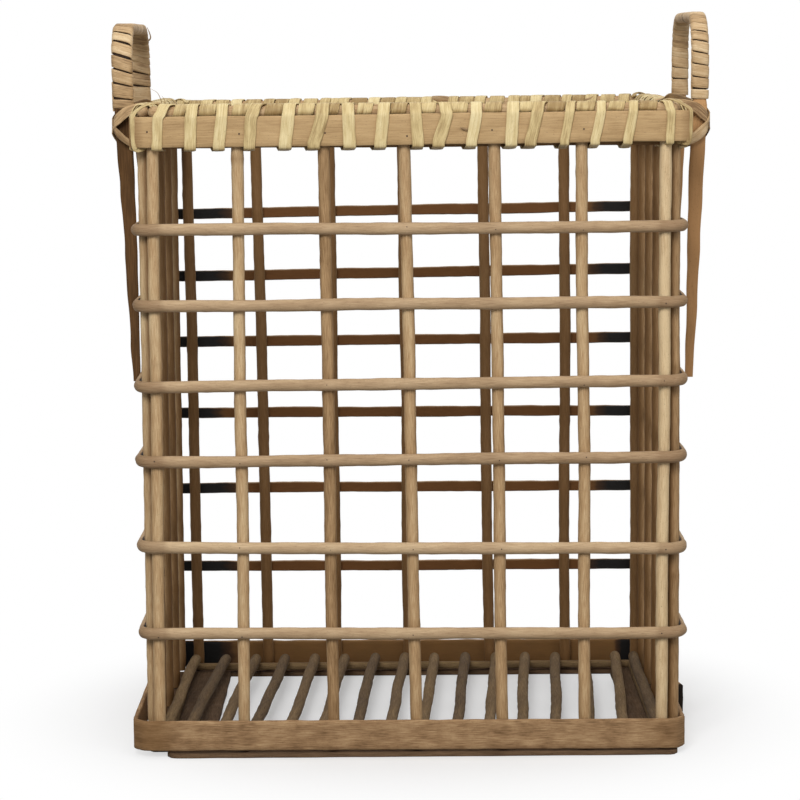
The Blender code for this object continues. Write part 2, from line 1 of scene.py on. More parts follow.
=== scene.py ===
"""Open lattice basket of peeled rattan: dressed for its photograph.

Round stakes stand inside flat-backed split hoops, cane is laced round the rim, and two bent slat
handles are bound with cane.  Every length is in metres unless its name says otherwise.
"""

import logging
import math
import random
from collections.abc import Callable, Sequence
from dataclasses import dataclass

import bmesh
import bpy
from mathutils import Matrix, Vector, noise


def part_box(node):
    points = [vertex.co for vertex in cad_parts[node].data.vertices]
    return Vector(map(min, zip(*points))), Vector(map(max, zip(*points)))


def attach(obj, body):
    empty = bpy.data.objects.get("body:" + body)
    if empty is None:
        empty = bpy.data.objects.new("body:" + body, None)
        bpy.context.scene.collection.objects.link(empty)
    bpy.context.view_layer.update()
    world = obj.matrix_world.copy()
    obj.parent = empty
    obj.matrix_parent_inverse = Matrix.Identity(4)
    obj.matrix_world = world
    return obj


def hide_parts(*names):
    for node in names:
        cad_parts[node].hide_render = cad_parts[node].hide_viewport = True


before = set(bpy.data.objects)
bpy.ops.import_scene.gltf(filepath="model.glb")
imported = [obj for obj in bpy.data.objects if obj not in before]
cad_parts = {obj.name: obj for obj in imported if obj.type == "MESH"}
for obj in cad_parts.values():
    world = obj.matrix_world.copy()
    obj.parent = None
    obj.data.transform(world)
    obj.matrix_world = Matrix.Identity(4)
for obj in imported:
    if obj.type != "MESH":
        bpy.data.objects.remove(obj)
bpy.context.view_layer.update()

log = logging.getLogger("basket")

MM = 0.001
UP = Vector((0, 0, 1))
ALONG_X = Vector((1, 0, 0))
ALONG_Y = Vector((0, 1, 0))

Outline = list[tuple[float, float]]


def linear_colour(hex_colour: str) -> tuple[float, float, float, float]:
    """Turn a colour as it shows into the linear colour that a shader takes.

    Args:
        hex_colour: Six hexadecimal digits.

    Returns:
        Linear red, green, blue, and an alpha of one.
    """
    channels = [int(hex_colour[start:start + 2], 16) / 255 for start in (0, 2, 4)]
    linear = [c / 12.92 if c <= 0.04045 else ((c + 0.055) / 1.055) ** 2.4 for c in channels]
    return (linear[0], linear[1], linear[2], 1.0)


def add_node(tree: bpy.types.NodeTree, kind: str, inputs: dict | None = None,
             stops: Sequence[tuple[float, str]] = (), **settings: object) -> bpy.types.Node:
    """Add a shader node with its settings, values and links.

    Args:
        tree: Node tree to add to.
        kind: Type of the node.
        inputs: Socket names or numbers, each with a value or the socket that feeds it.
        stops: Places and hex colours of a colour ramp.
        settings: Properties of the node itself.

    Returns:
        The new node.
    """
    node = tree.nodes.new(kind)
    for name, value in settings.items():
        setattr(node, name, value)
    for key, value in (inputs or {}).items():
        if isinstance(value, bpy.types.NodeSocket):
            tree.links.new(value, node.inputs[key])
        else:
            node.inputs[key].default_value = value
    for number, (place, colour) in enumerate(stops):
        elements = node.color_ramp.elements
        element = elements[number] if number < 2 else elements.new(place)
        element.position = place
        element.color = linear_colour(colour)
    return node


def named_material(name: str, surface: Callable[[bpy.types.NodeTree], bpy.types.NodeSocket]
                   ) -> bpy.types.Material:
    """Make a material, or return it where another piece already has it.

    Args:
        name: Name of the material.
        surface: Lays the nodes in an empty tree and returns the socket of the surface.

    Returns:
        The material.
    """
    made = bpy.data.materials.get(name)
    if made:
        return made
    made = bpy.data.materials.new(name)
    made.use_nodes = True
    tree = made.node_tree
    tree.nodes.clear()
    add_node(tree, "ShaderNodeOutputMaterial", {"Surface": surface(tree)})
    return made


def add_object(name: str, data: bpy.types.ID) -> bpy.types.Object:
    """Add an object to the scene."""
    made = bpy.data.objects.new(name, data)
    bpy.context.scene.collection.objects.link(made)
    return made


def smooth(share: float) -> float:
    """Ease a share from zero to one."""
    share = min(max(share, 0.0), 1.0)
    return share * share * (3 - 2 * share)


def wander(seed: float, run: float, length: float) -> float:
    """Smooth noise of about minus one to one along a run, with bends about a length apart."""
    return noise.noise(Vector((run / length, seed * 7.31, seed * 3.17))) * 1.6


@dataclass(frozen=True)
class CaneFinish:
    """Finish of a piece of rattan or cane, weathered indoors.

    Peeled rattan is a pale, slightly waxy core with fine pores that run along it.  They catch dust,
    which leaves short dark flecks and streaks along the grain.

    Fields:
        name: Name of the material.
        light, middle, dark: Colours of the core, from the rubbed places to the streaks.
        inner: Colour of a split inner face, and of the painted shade that the shade attribute lays
            on.
        fleck: Colour of the pores and dirt.
        fibre: Width and length of the streaks.
        pore: Width and length of the flecks.
        flecked: Share of the flecks that show.
        blotch: Width and length of the large stains.
        contrast: How far the streaks go from the middle colour.
        roughness: Roughness of the surface.
        relief: Depth of the grain.
    """

    name: str
    light: str
    middle: str
    dark: str
    inner: str = "78562C"
    fleck: str = "5A4128"
    fibre: tuple[float, float] = (0.5 * MM, 10 * MM)
    pore: tuple[float, float] = (0.45 * MM, 1.8 * MM)
    flecked: float = 0.40
    blotch: tuple[float, float] = (7 * MM, 45 * MM)
    contrast: float = 0.70
    roughness: float = 0.70
    relief: float = 0.12 * MM

    def material(self) -> bpy.types.Material:
        """Material of this finish."""
        return named_material(self.name, self._surface)

    def _surface(self, tree: bpy.types.NodeTree) -> bpy.types.NodeSocket:
        """Lay the nodes of the cane and return the socket of its surface."""
        straight = self._attribute(tree, "straight").outputs["Vector"]
        fibre = self._grain(tree, straight, self.fibre, 4.0)
        pore = self._grain(tree, straight, self.pore, 2.0)
        blotch = self._grain(tree, straight, self.blotch, 3.0)
        colour = self._core_colour(tree, fibre, blotch, pore)
        colour = self._worn_colour(tree, colour, blotch)
        rough = add_node(tree, "ShaderNodeMapRange", {
            "Value": fibre, "From Min": 0.25, "From Max": 0.75,
            "To Min": self.roughness + 0.10, "To Max": self.roughness - 0.08})
        height = add_node(tree, "ShaderNodeMath", {0: fibre, 1: pore}, operation="ADD")
        bump = add_node(tree, "ShaderNodeBump", {
            "Strength": 1.0, "Distance": self.relief, "Height": height.outputs[0]})
        return add_node(tree, "ShaderNodeBsdfPrincipled", {
            "Base Color": colour, "Roughness": rough.outputs["Result"],
            "Normal": bump.outputs["Normal"], "IOR": 1.45, "Specular IOR Level": 0.3,
        }).outputs[0]

    def _attribute(self, tree: bpy.types.NodeTree, name: str) -> bpy.types.Node:
        """Read one of the attributes that every workpiece carries."""
        return add_node(tree, "ShaderNodeAttribute", attribute_name=name)

    def _grain(self, tree: bpy.types.NodeTree, straight: bpy.types.NodeSocket,
               size: tuple[float, float], detail: float) -> bpy.types.NodeSocket:
        """Noise drawn out along the piece.

        Args:
            tree: Node tree of the material.
            straight: Place on the unbent piece.
            size: Width and length of the pattern.
            detail: Octaves of the noise.

        Returns:
            The socket of the noise.
        """
        width, length = size
        laid = add_node(tree, "ShaderNodeMapping", {
            "Vector": straight, "Scale": (1 / width, 1 / width, 1 / length)})
        return add_node(tree, "ShaderNodeTexNoise", {
            "Vector": laid.outputs[0], "Scale": 1.0, "Detail": detail, "Roughness": 0.55,
        }).outputs[0]

    def _core_colour(self, tree: bpy.types.NodeTree, fibre: bpy.types.NodeSocket,
                     blotch: bpy.types.NodeSocket,
                     pore: bpy.types.NodeSocket) -> bpy.types.NodeSocket:
        """Colour of the clean core: streaks and stains, a tone of its own, and flecks.

        Args:
            tree: Node tree of the material.
            fibre: Noise of the streaks.
            blotch: Noise of the stains.
            pore: Noise of the flecks.

        Returns:
            The socket of the colour.
        """
        tone = self._attribute(tree, "tone").outputs["Fac"]
        grain = add_node(tree, "ShaderNodeMix", {0: 0.45, 2: fibre, 3: blotch}, data_type="FLOAT")
        spread = add_node(tree, "ShaderNodeMapRange", {
            "Value": grain.outputs[0], "From Min": 0.5 - 0.17, "From Max": 0.5 + 0.17,
            "To Min": 0.5 - self.contrast / 2, "To Max": 0.5 + self.contrast / 2})
        toned = add_node(tree, "ShaderNodeMath", {0: spread.outputs[0], 1: tone}, operation="ADD")
        ramp = add_node(tree, "ShaderNodeValToRGB", {0: toned.outputs[0]},
                        stops=((0.0, self.dark), (1.0, self.light), (0.5, self.middle)))
        spots = add_node(tree, "ShaderNodeMapRange", {
            "Value": pore, "From Min": 0.66 - 0.1 * self.flecked, "From Max": 0.78,
            "To Min": 0.0, "To Max": self.flecked + 0.3})
        flecks = add_node(tree, "ShaderNodeMix", {
            0: spots.outputs[0], 6: ramp.outputs[0], 7: linear_colour(self.fleck)},
            data_type="RGBA")
        return flecks.outputs[2]

    def _worn_colour(self, tree: bpy.types.NodeTree, colour: bpy.types.NodeSocket,
                     blotch: bpy.types.NodeSocket) -> bpy.types.NodeSocket:
        """Lay the brown of split faces and of painted shade, and the char of the bends, over the
        core colour.

        Args:
            tree: Node tree of the material.
            colour: Colour of the core.
            blotch: Noise that breaks up the edges of the char.

        Returns:
            The socket of the colour.
        """
        shade = self._attribute(tree, "shade").outputs["Fac"]
        inner = add_node(tree, "ShaderNodeMix", {
            0: 1.0, 6: colour, 7: linear_colour(self.inner)}, data_type="RGBA",
            blend_type="MULTIPLY")
        lifted = add_node(tree, "ShaderNodeMix", {
            0: 0.55, 6: inner.outputs[2], 7: linear_colour(self.inner)}, data_type="RGBA")
        shaded = add_node(tree, "ShaderNodeMix", {0: shade, 6: colour, 7: lifted.outputs[2]},
                          data_type="RGBA")
        scorch = self._attribute(tree, "scorch").outputs["Fac"]
        ragged = add_node(tree, "ShaderNodeMath", {0: blotch, 1: 0.5, 2: scorch},
                          operation="MULTIPLY_ADD")
        edge = add_node(tree, "ShaderNodeMath", {0: ragged.outputs[0], 1: 0.25},
                        operation="SUBTRACT")
        char = add_node(tree, "ShaderNodeValToRGB", {0: edge.outputs[0]},
                        stops=((0.12, "70502E"), (0.75, "0B0806"), (0.42, "3A2513")))
        cover = add_node(tree, "ShaderNodeMapRange", {
            "Value": edge.outputs[0], "From Min": 0.10, "From Max": 0.36})
        burnt = add_node(tree, "ShaderNodeMath", {0: cover.outputs[0], 1: scorch},
                         operation="MULTIPLY")
        firm = add_node(tree, "ShaderNodeMapRange", {
            "Value": burnt.outputs[0], "From Min": 0.0, "From Max": 0.30})
        return add_node(tree, "ShaderNodeMix", {
            0: firm.outputs[0], 6: shaded.outputs[2], 7: char.outputs[0]},
            data_type="RGBA").outputs[2]


@dataclass(frozen=True)
class NailFinish:
    """Finish of small wire nails: drawn mild steel gone dark brown, so dull and uneven.

    Fields:
        name: Name of the material.
        dark, light: Colours between which the tarnish varies.
        patch: Width of the tarnish patches.
    """

    name: str = "tarnished_wire_nail"
    dark: str = "2B2018"
    light: str = "5B4430"
    patch: float = 0.8 * MM

    def material(self) -> bpy.types.Material:
        """Material of this finish."""
        return named_material(self.name, self._surface)

    def _surface(self, tree: bpy.types.NodeTree) -> bpy.types.NodeSocket:
        """Lay the nodes of the nail and return the socket of its surface."""
        place = add_node(tree, "ShaderNodeTexCoord").outputs["Object"]
        patches = add_node(tree, "ShaderNodeTexNoise", {
            "Vector": place, "Scale": 1 / self.patch, "Detail": 2.0})
        ramp = add_node(tree, "ShaderNodeValToRGB", {0: patches.outputs[0]},
                        stops=((0.35, self.dark), (0.70, self.light)))
        return add_node(tree, "ShaderNodeBsdfPrincipled", {
            "Base Color": ramp.outputs[0], "Metallic": 0.35, "Roughness": 0.6}).outputs[0]


# Round peeled rattan: rubbed almost white on its outer face; the brown along its sides and inner
# face is painted shade, partly patina
STAKE_CORE = CaneFinish("peeled_rattan_stake", "DCC298", "B49269", "7A5C3A")
# The same cane split in half: the round back as pale as a stake, the flat face brown
SPLIT_HOOP = CaneFinish("split_rattan_hoop", "D4BA94", "B19472", "7E6244", inner="744E26",
                        contrast=0.60)
# Wide rattan strip at the foot: handled and dragged, so browner, with rubbed edges
FOOT_BAND = CaneFinish("rattan_band", "BA9A72", "987754", "62472C", inner="846238",
                       fibre=(0.6 * MM, 12 * MM), blotch=(7 * MM, 16 * MM), flecked=0.6,
                       contrast=1.0, roughness=0.80)
# Slats under the basket: dirty from the ground
GROUND_SLAT = CaneFinish("ground_slat", "7C6147", "5E4833", "3C2B1C", fleck="2A1E15",
                         fibre=(0.9 * MM, 14 * MM), flecked=0.7, roughness=0.86)
# Floor rods: dusty brown, darker than the walls
FLOOR_CORE = CaneFinish("dusty_floor_rod", "8E7450", "6A5438", "423221", fleck="2B2016",
                        flecked=0.6, roughness=0.82)
# Planed rim slat: even brown with fine straight grain
RIM_SLAT = CaneFinish("planed_rim_slat", "D4B486", "B8986C", "846541",
                      fibre=(0.5 * MM, 16 * MM), blotch=(9 * MM, 30 * MM), contrast=0.55)
# Outer skin of the cane, cut flat: straw yellow with a slight natural gloss
LACING_CANE = CaneFinish("lacing_cane", "E6D4A4", "D0B985", "9A7E52", inner="7A5C36",
                         fibre=(0.5 * MM, 16 * MM), blotch=(4 * MM, 14 * MM), contrast=0.85,
                         flecked=0.25, roughness=0.52)
# Older cane binding on the handles, rubbed by hands
HANDLE_CANE = CaneFinish("handle_cane", "DCC29A", "BF9E73", "7E6142", inner="4B3825",
                         fibre=(0.5 * MM, 14 * MM), blotch=(5 * MM, 14 * MM), contrast=0.9,
                         flecked=0.35, roughness=0.56)
# Handle slats: split hardwood-like cane wall, brown
HANDLE_SLAT = CaneFinish("bent_handle_slat", "C99A68", "7E5830", "42290F", fleck="302318",
                         fibre=(0.7 * MM, 20 * MM), contrast=0.60, roughness=0.74)
NAILS = NailFinish()


def round_outline(radius: float, points: int) -> Outline:
    """Outline of a round rod, anticlockwise."""
    turns = [2 * math.pi * number / points for number in range(points)]
    return [(radius * math.cos(turn), radius * math.sin(turn)) for turn in turns]


def slat_outline(width: float, thickness: float, edge: float, faces: int = 4,
                 crown: float = 0.0) -> Outline:
    """Outline of a flat slat or strip with eased edges, anticlockwise, centred.

    Args:
        width: Size along the first axis.
        thickness: Size along the second axis, crown left out.
        edge: How far the edges are eased.
        faces: Steps across each broad face.
        crown: How far the middle of the top stands proud of its edges.

    Returns:
        The points of the outline.
    """
    half_w, half_t = width / 2, thickness / 2
    across = [half_w - edge - (width - 2 * edge) * step / faces for step in range(faces + 1)]
    top = [(u, half_t + crown * (1 - (u / half_w) ** 2)) for u in across]
    bottom = [(-u, -half_t) for u in across]
    inset = half_t - min(edge, half_t * 0.8)
    left = [(-half_w, inset), (-half_w, -inset)]
    right = [(half_w, -inset), (half_w, inset)]
    return top + left + bottom + right


def split_outline(height: float, thickness: float) -> Outline:
    """Outline of a split rod: flat face at zero, round back outwards, anticlockwise."""
    flat = [(0.0, height * share) for share in (0.40, 0.14, -0.14, -0.40)]
    back = []
    for step in range(11):
        turn = math.radians(-78 + 156 * step / 10)
        back.append((thickness * (0.16 + 0.84 * math.cos(turn)), height / 2 * math.sin(turn)))
    return flat + back


@dataclass
class Station:
    """One cross-section of a swept piece.

    Fields:
        centre: Middle of the section.
        across: Direction of the outline's first axis.
        over: Direction of the outline's second axis.
        run: Distance along the unbent piece.
        girth: Scale of the outline along its two axes.
        scorch: How charred the inner face is here.
        shade: How brown the piece is here: painted shade at some places, end grain and knots at
            others.
        char_and_painted_shade: How far the whole section is blackened, not only its inner face:
            char at cut ends, painted shade on the band's loose end and on the handle slat under its
            binding.
    """

    centre: Vector
    across: Vector
    over: Vector
    run: float
    girth: tuple[float, float] = (1.0, 1.0)
    scorch: float = 0.0
    shade: float = 0.0
    char_and_painted_shade: float = 0.0


class Workpiece:
    """One object in the making: a bmesh whose points carry what the finishes read.

    The attribute straight is a point's place on the unbent piece, so grain follows every bend.
    Tone is the lightness of one cane among others. Shade is browning: the split faces' own colour,
    and painted shade on sides, hidden faces and parts under slats and bindings. Scorch is char, and
    painted shade where a whole section is blackened.
    """

    def __init__(self, name: str) -> None:
        """Start an empty workpiece."""
        self.name = name
        self.work = bmesh.new()
        layers = self.work.verts.layers
        self.straight = layers.float_vector.new("straight")
        self.tone = layers.float.new("tone")
        self.shade = layers.float.new("shade")
        self.scorch = layers.float.new("scorch")
        self.count = 0

    def sweep(self, outline: Outline, stations: Sequence[Station], tone: float = 0.0,
              closed: bool = False, inner: Callable[[float, float], float] | None = None,
              rough: float = 0.0, rough_length: float = 9 * MM) -> None:
        """Carry an outline along a row of stations and close its ends.

        Args:
            outline: Points of the section.
            stations: Where the section sits, in order.
            tone: Lightness of this cane, about minus a half to a half.
            closed: Whether the piece is a ring without ends.
            inner: Gives from a point of the outline how far it counts as inner face.
            rough: Depth of the unevenness of the surface.
            rough_length: Length of that unevenness along the piece.
        """
        self.count += 1
        offset = self.count * 0.37
        columns, rows = len(outline), len(stations) - (0 if closed else 1)
        grid = bmesh.ops.create_grid(self.work, x_segments=columns, y_segments=rows, size=1.0)
        seam, ends = [], ([], [])
        for vert in grid["verts"]:
            column = round((vert.co.x + 1) / 2 * columns)
            row = round((vert.co.y + 1) / 2 * rows)
            station = stations[row % len(stations)]
            u, v = outline[column % columns]
            face = inner(u, v) if inner else 0.0
            u *= station.girth[0]
            v *= station.girth[1]
            place = station.centre + station.across * u + station.over * v
            if rough:
                probe = Vector((u * 160, v * 160, station.run / rough_length + offset * 31))
                out = (station.across * u + station.over * v).normalized()
                place += out * (noise.noise(probe) * rough)
            vert.co = place
            vert[self.straight] = Vector((u, v, station.run + offset))
            vert[self.tone] = tone
            vert[self.shade] = min(1.0, station.shade + face * (1 - station.shade))
            # scorch also carries the blackening of whole sections: char at cut ends, painted shade
            # on the band's loose end and on the handle slat under its binding
            vert[self.scorch] = max(station.scorch * face, station.char_and_painted_shade)
            if row in (0, rows):
                ends[row // rows].append(vert)
            if column in (0, columns) or (closed and row in (0, rows)):
                seam.append(vert)
        bmesh.ops.remove_doubles(self.work, verts=seam, dist=0.001 * MM)
        if closed:
            return
        for end in ends:
            rim = {edge for vert in end if vert.is_valid for edge in vert.link_edges}
            bmesh.ops.contextual_create(self.work, geom=[edge for edge in rim if edge.is_boundary])

    def dome(self, centre: Vector, outward: Vector, radius: float, height: float) -> None:
        """Add a small domed nail head.

        Args:
            centre: Middle of the head's foot.
            outward: Direction it faces.
            radius: Radius of its foot.
            height: Height of the dome.
        """
        turned = outward.to_track_quat("Z", "Y").to_matrix().to_4x4()
        squashed = Matrix.Diagonal((radius, radius, height, 1))
        ball = bmesh.ops.create_icosphere(
            self.work, subdivisions=1, radius=1.0,
            matrix=Matrix.Translation(centre) @ turned @ squashed)
        for vert in ball["verts"]:
            vert[self.straight] = vert.co.copy()

    def done(self, finish: CaneFinish | NailFinish, slot: str = "",
             *nodes: str) -> bpy.types.Object:
        """Turn the workpiece into an object that rides on the basket.

        Args:
            finish: Finish of the piece.
            slot: Not used.
            nodes: Nodes of the frame that the piece stands for.

        Returns:
            The finished object.
        """
        bmesh.ops.recalc_face_normals(self.work, faces=self.work.faces)
        mesh = bpy.data.meshes.new(self.name)
        self.work.to_mesh(mesh)
        self.work.free()
        mesh.shade_smooth()
        mesh.set_sharp_from_angle(angle=math.radians(48))
        mesh.materials.append(finish.material())
        piece = add_object(self.name, mesh)
        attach(piece, "root")
        if nodes:
            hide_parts(*nodes)
        log.info("%s: %d faces", self.name, len(mesh.polygons))
        return piece


def spaced(start: float, end: float, step: float) -> list[float]:
    """Evenly spaced places from start to end, about a step apart."""
    count = max(2, round(abs(end - start) / step) + 1)
    return [start + (end - start) * number / (count - 1) for number in range(count)]


def flowing(points: Sequence[Vector], step: float) -> list[Vector]:
    """Smooth curve through a few points, as places about a step apart.

    Args:
        points: Points that the curve passes.
        step: Distance between the places.

    Returns:
        The places, the first and last point included.
    """
    ends = [points[0] * 2 - points[1], *points, points[-1] * 2 - points[-2]]
    places = []
    for a, b, c, d in zip(ends, ends[1:], ends[2:], ends[3:]):
        for share in spaced(0, 1, step / max((c - b).length, step / 2))[:-1]:
            places.append(0.5 * (2 * b + (c - a) * share + (2 * a - 5 * b + 4 * c - d) * share ** 2
                                 + (3 * b - a - 3 * c + d) * share ** 3))
    return places + [points[-1].copy()]


def tangents(places: Sequence[Vector]) -> list[Vector]:
    """Direction of travel at each of a row of places."""
    before = [places[0], *places[:-1]]
    after = [*places[1:], places[-1]]
    return [(b - a).normalized() for a, b in zip(before, after)]


def runs(places: Sequence[Vector]) -> list[float]:
    """Distance along a row of places."""
    total = [0.0]
    for a, b in zip(places, places[1:]):
        total.append(total[-1] + (b - a).length)
    return total


def ring_runs(ring: Sequence[tuple[Vector, Vector, float]]) -> list[float]:
    """Distance along a ring of the ground plan, at each of its points."""
    return runs([point for point, _, _ in ring])


def node_ends(name: str) -> tuple[Vector, Vector]:
    """Middle of the lower and of the upper end of an upright node."""
    points = [vertex.co.copy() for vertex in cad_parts[name].data.vertices]
    low, high = min(p.z for p in points), max(p.z for p in points)
    feet = [p for p in points if p.z < low + 0.2 * MM]
    heads = [p for p in points if p.z > high - 0.2 * MM]
    return sum(feet, Vector()) / len(feet), sum(heads, Vector()) / len(heads)


@dataclass
class Plan:
    """Ground plan that all the pieces share.

    Fields:
        hoop_x, hoop_y: Inner faces of the hoops.
        row_x, row_y: Middle lines of the stakes.
        corner: Radius of the hoops' inner faces at a corner.
    """

    hoop_x: float = 206.2 * MM
    hoop_y: float = 152.1 * MM
    row_x: float = 201.2 * MM
    row_y: float = 147.1 * MM
    corner: float = 11.2 * MM

    def round_ring(self, half_x: float, half_y: float, radius: float, start: float,
                   end: float) -> list[tuple[Vector, Vector, float]]:
        """Places round the basket from the right wall, clockwise from above, and back to it.

        Args:
            half_x: Distance of the side faces from the middle.
            half_y: Distance of the front and back faces from the middle.
            radius: Radius of the corners.
            start: Place on the right wall where it starts, going to the front.
            end: Place on the right wall where it ends, coming from the back.

        Returns:
            Points, outward normals and closeness to a corner, from nought to one.
        """
        flats = ((Vector((half_x, start)), Vector((half_x, radius - half_y))),
                 (Vector((half_x - radius, -half_y)), Vector((radius - half_x, -half_y))),
                 (Vector((-half_x, radius - half_y)), Vector((-half_x, half_y - radius))),
                 (Vector((radius - half_x, half_y)), Vector((half_x - radius, half_y))),
                 (Vector((half_x, half_y - radius)), Vector((half_x, end))))
        normals = (Vector((1, 0)), Vector((0, -1)), Vector((-1, 0)), Vector((0, 1)), Vector((1, 0)))
        made = []
        for number, ((a, b), normal) in enumerate(zip(flats, normals)):
            length = (b - a).length
            for place in spaced(0, length, 5 * MM):
                nearest = min(place if number else math.inf,
                              length - place if number < 4 else math.inf)
                point = a + (b - a) * (place / length)
                made.append((point.to_3d(), normal.to_3d(), nearest))
            if number == 4:
                break
            after = normals[number + 1]
            centre = b - normal * radius
            for step in range(1, 8):
                turn = math.pi / 2 * step / 8
                out = normal * math.cos(turn) + after * math.sin(turn)
                made.append(((centre + out * radius).to_3d(), out.to_3d(), 0.0))
        return made


@dataclass
class Stakes:
    """Upright round rods of the four walls.

    Fields:
        radius: Radius of a rod.
        walls: Each wall's name, its number of stakes, and the directions along it and outwards.
        bow: How far a rod strays from straight, along its wall.
        knot_spacing: About how far apart the old leaf joints are.
        front_tones: Lightness of the front stakes, from the left.
    """

    radius: float = 4.7 * MM
    walls: tuple = (("front", 7, ALONG_X, -ALONG_Y), ("back", 7, ALONG_X, ALONG_Y),
                    ("left", 5, ALONG_Y, -ALONG_X), ("right", 5, ALONG_Y, ALONG_X))
    bow: float = 0.9 * MM
    knot_spacing: float = 170 * MM
    front_tones: tuple[float, ...] = (0.10, 0.14, -0.22, 0.04, 0.0, 0.06, 0.40)

    def build(self) -> None:
        """Build every stake as a piece of its own."""
        draw = random.Random(11)
        for wall, count, along, outward in self.walls:
            for number in range(1, count + 1):
                self.stake(f"{wall}_stake_{number}", along, outward, draw)

    def stake(self, node: str, along: Vector, outward: Vector, draw: random.Random) -> None:
        """Build one stake where its node stands: pale outside, its other sides browned by painted
        shade and some patina.

        Args:
            node: Name of the node.
            along: Direction of its wall.
            outward: Direction away from the basket's middle.
            draw: Source of the differences between stakes.
        """
        foot, head = node_ends(node)
        seed = draw.uniform(1, 90)
        knots = [draw.uniform(0.2, 0.8) * self.knot_spacing + self.knot_spacing * step
                 for step in range(4)]
        tone = draw.uniform(-0.20, 0.16)
        if outward.y < -0.5:
            tone = self.front_tones[int(node[-1]) - 1]
        length = (head - foot).length
        stations = []
        for run in spaced(0, length, 6 * MM):
            share = run / length
            centre = foot.lerp(head, share)
            centre += along * (wander(seed, run, 150 * MM) * self.bow * math.sin(math.pi * share))
            nearest = min(abs(run - knot) for knot in knots)
            girth = 1 + 0.035 * wander(seed + 3, run, 60 * MM)
            girth += 0.07 * math.exp(-(nearest / (3 * MM)) ** 2)
            ease = min(run, length - run)
            if ease < 1 * MM:
                girth *= 0.86
            shade = 0.35 * smooth(1 - run / (60 * MM))
            shade += 0.4 * math.exp(-(nearest / (1.2 * MM)) ** 2)
            stations.append(Station(centre, ALONG_X, ALONG_Y, run, (girth, girth),
                                    shade=min(shade, 0.8)))
        piece = Workpiece(f"{node}_cane")
        # painted shade, partly patina: each stake's sides and inner face are browned as they turn
        # away from the outside
        piece.sweep(round_outline(self.radius * 0.985, 14), stations, tone, rough=0.35 * MM,
                    inner=lambda u, v: 0.85 * smooth(
                        (0.62 - (u * outward.x + v * outward.y) / self.radius) / 1.3))
        piece.done(STAKE_CORE, "stake", node)


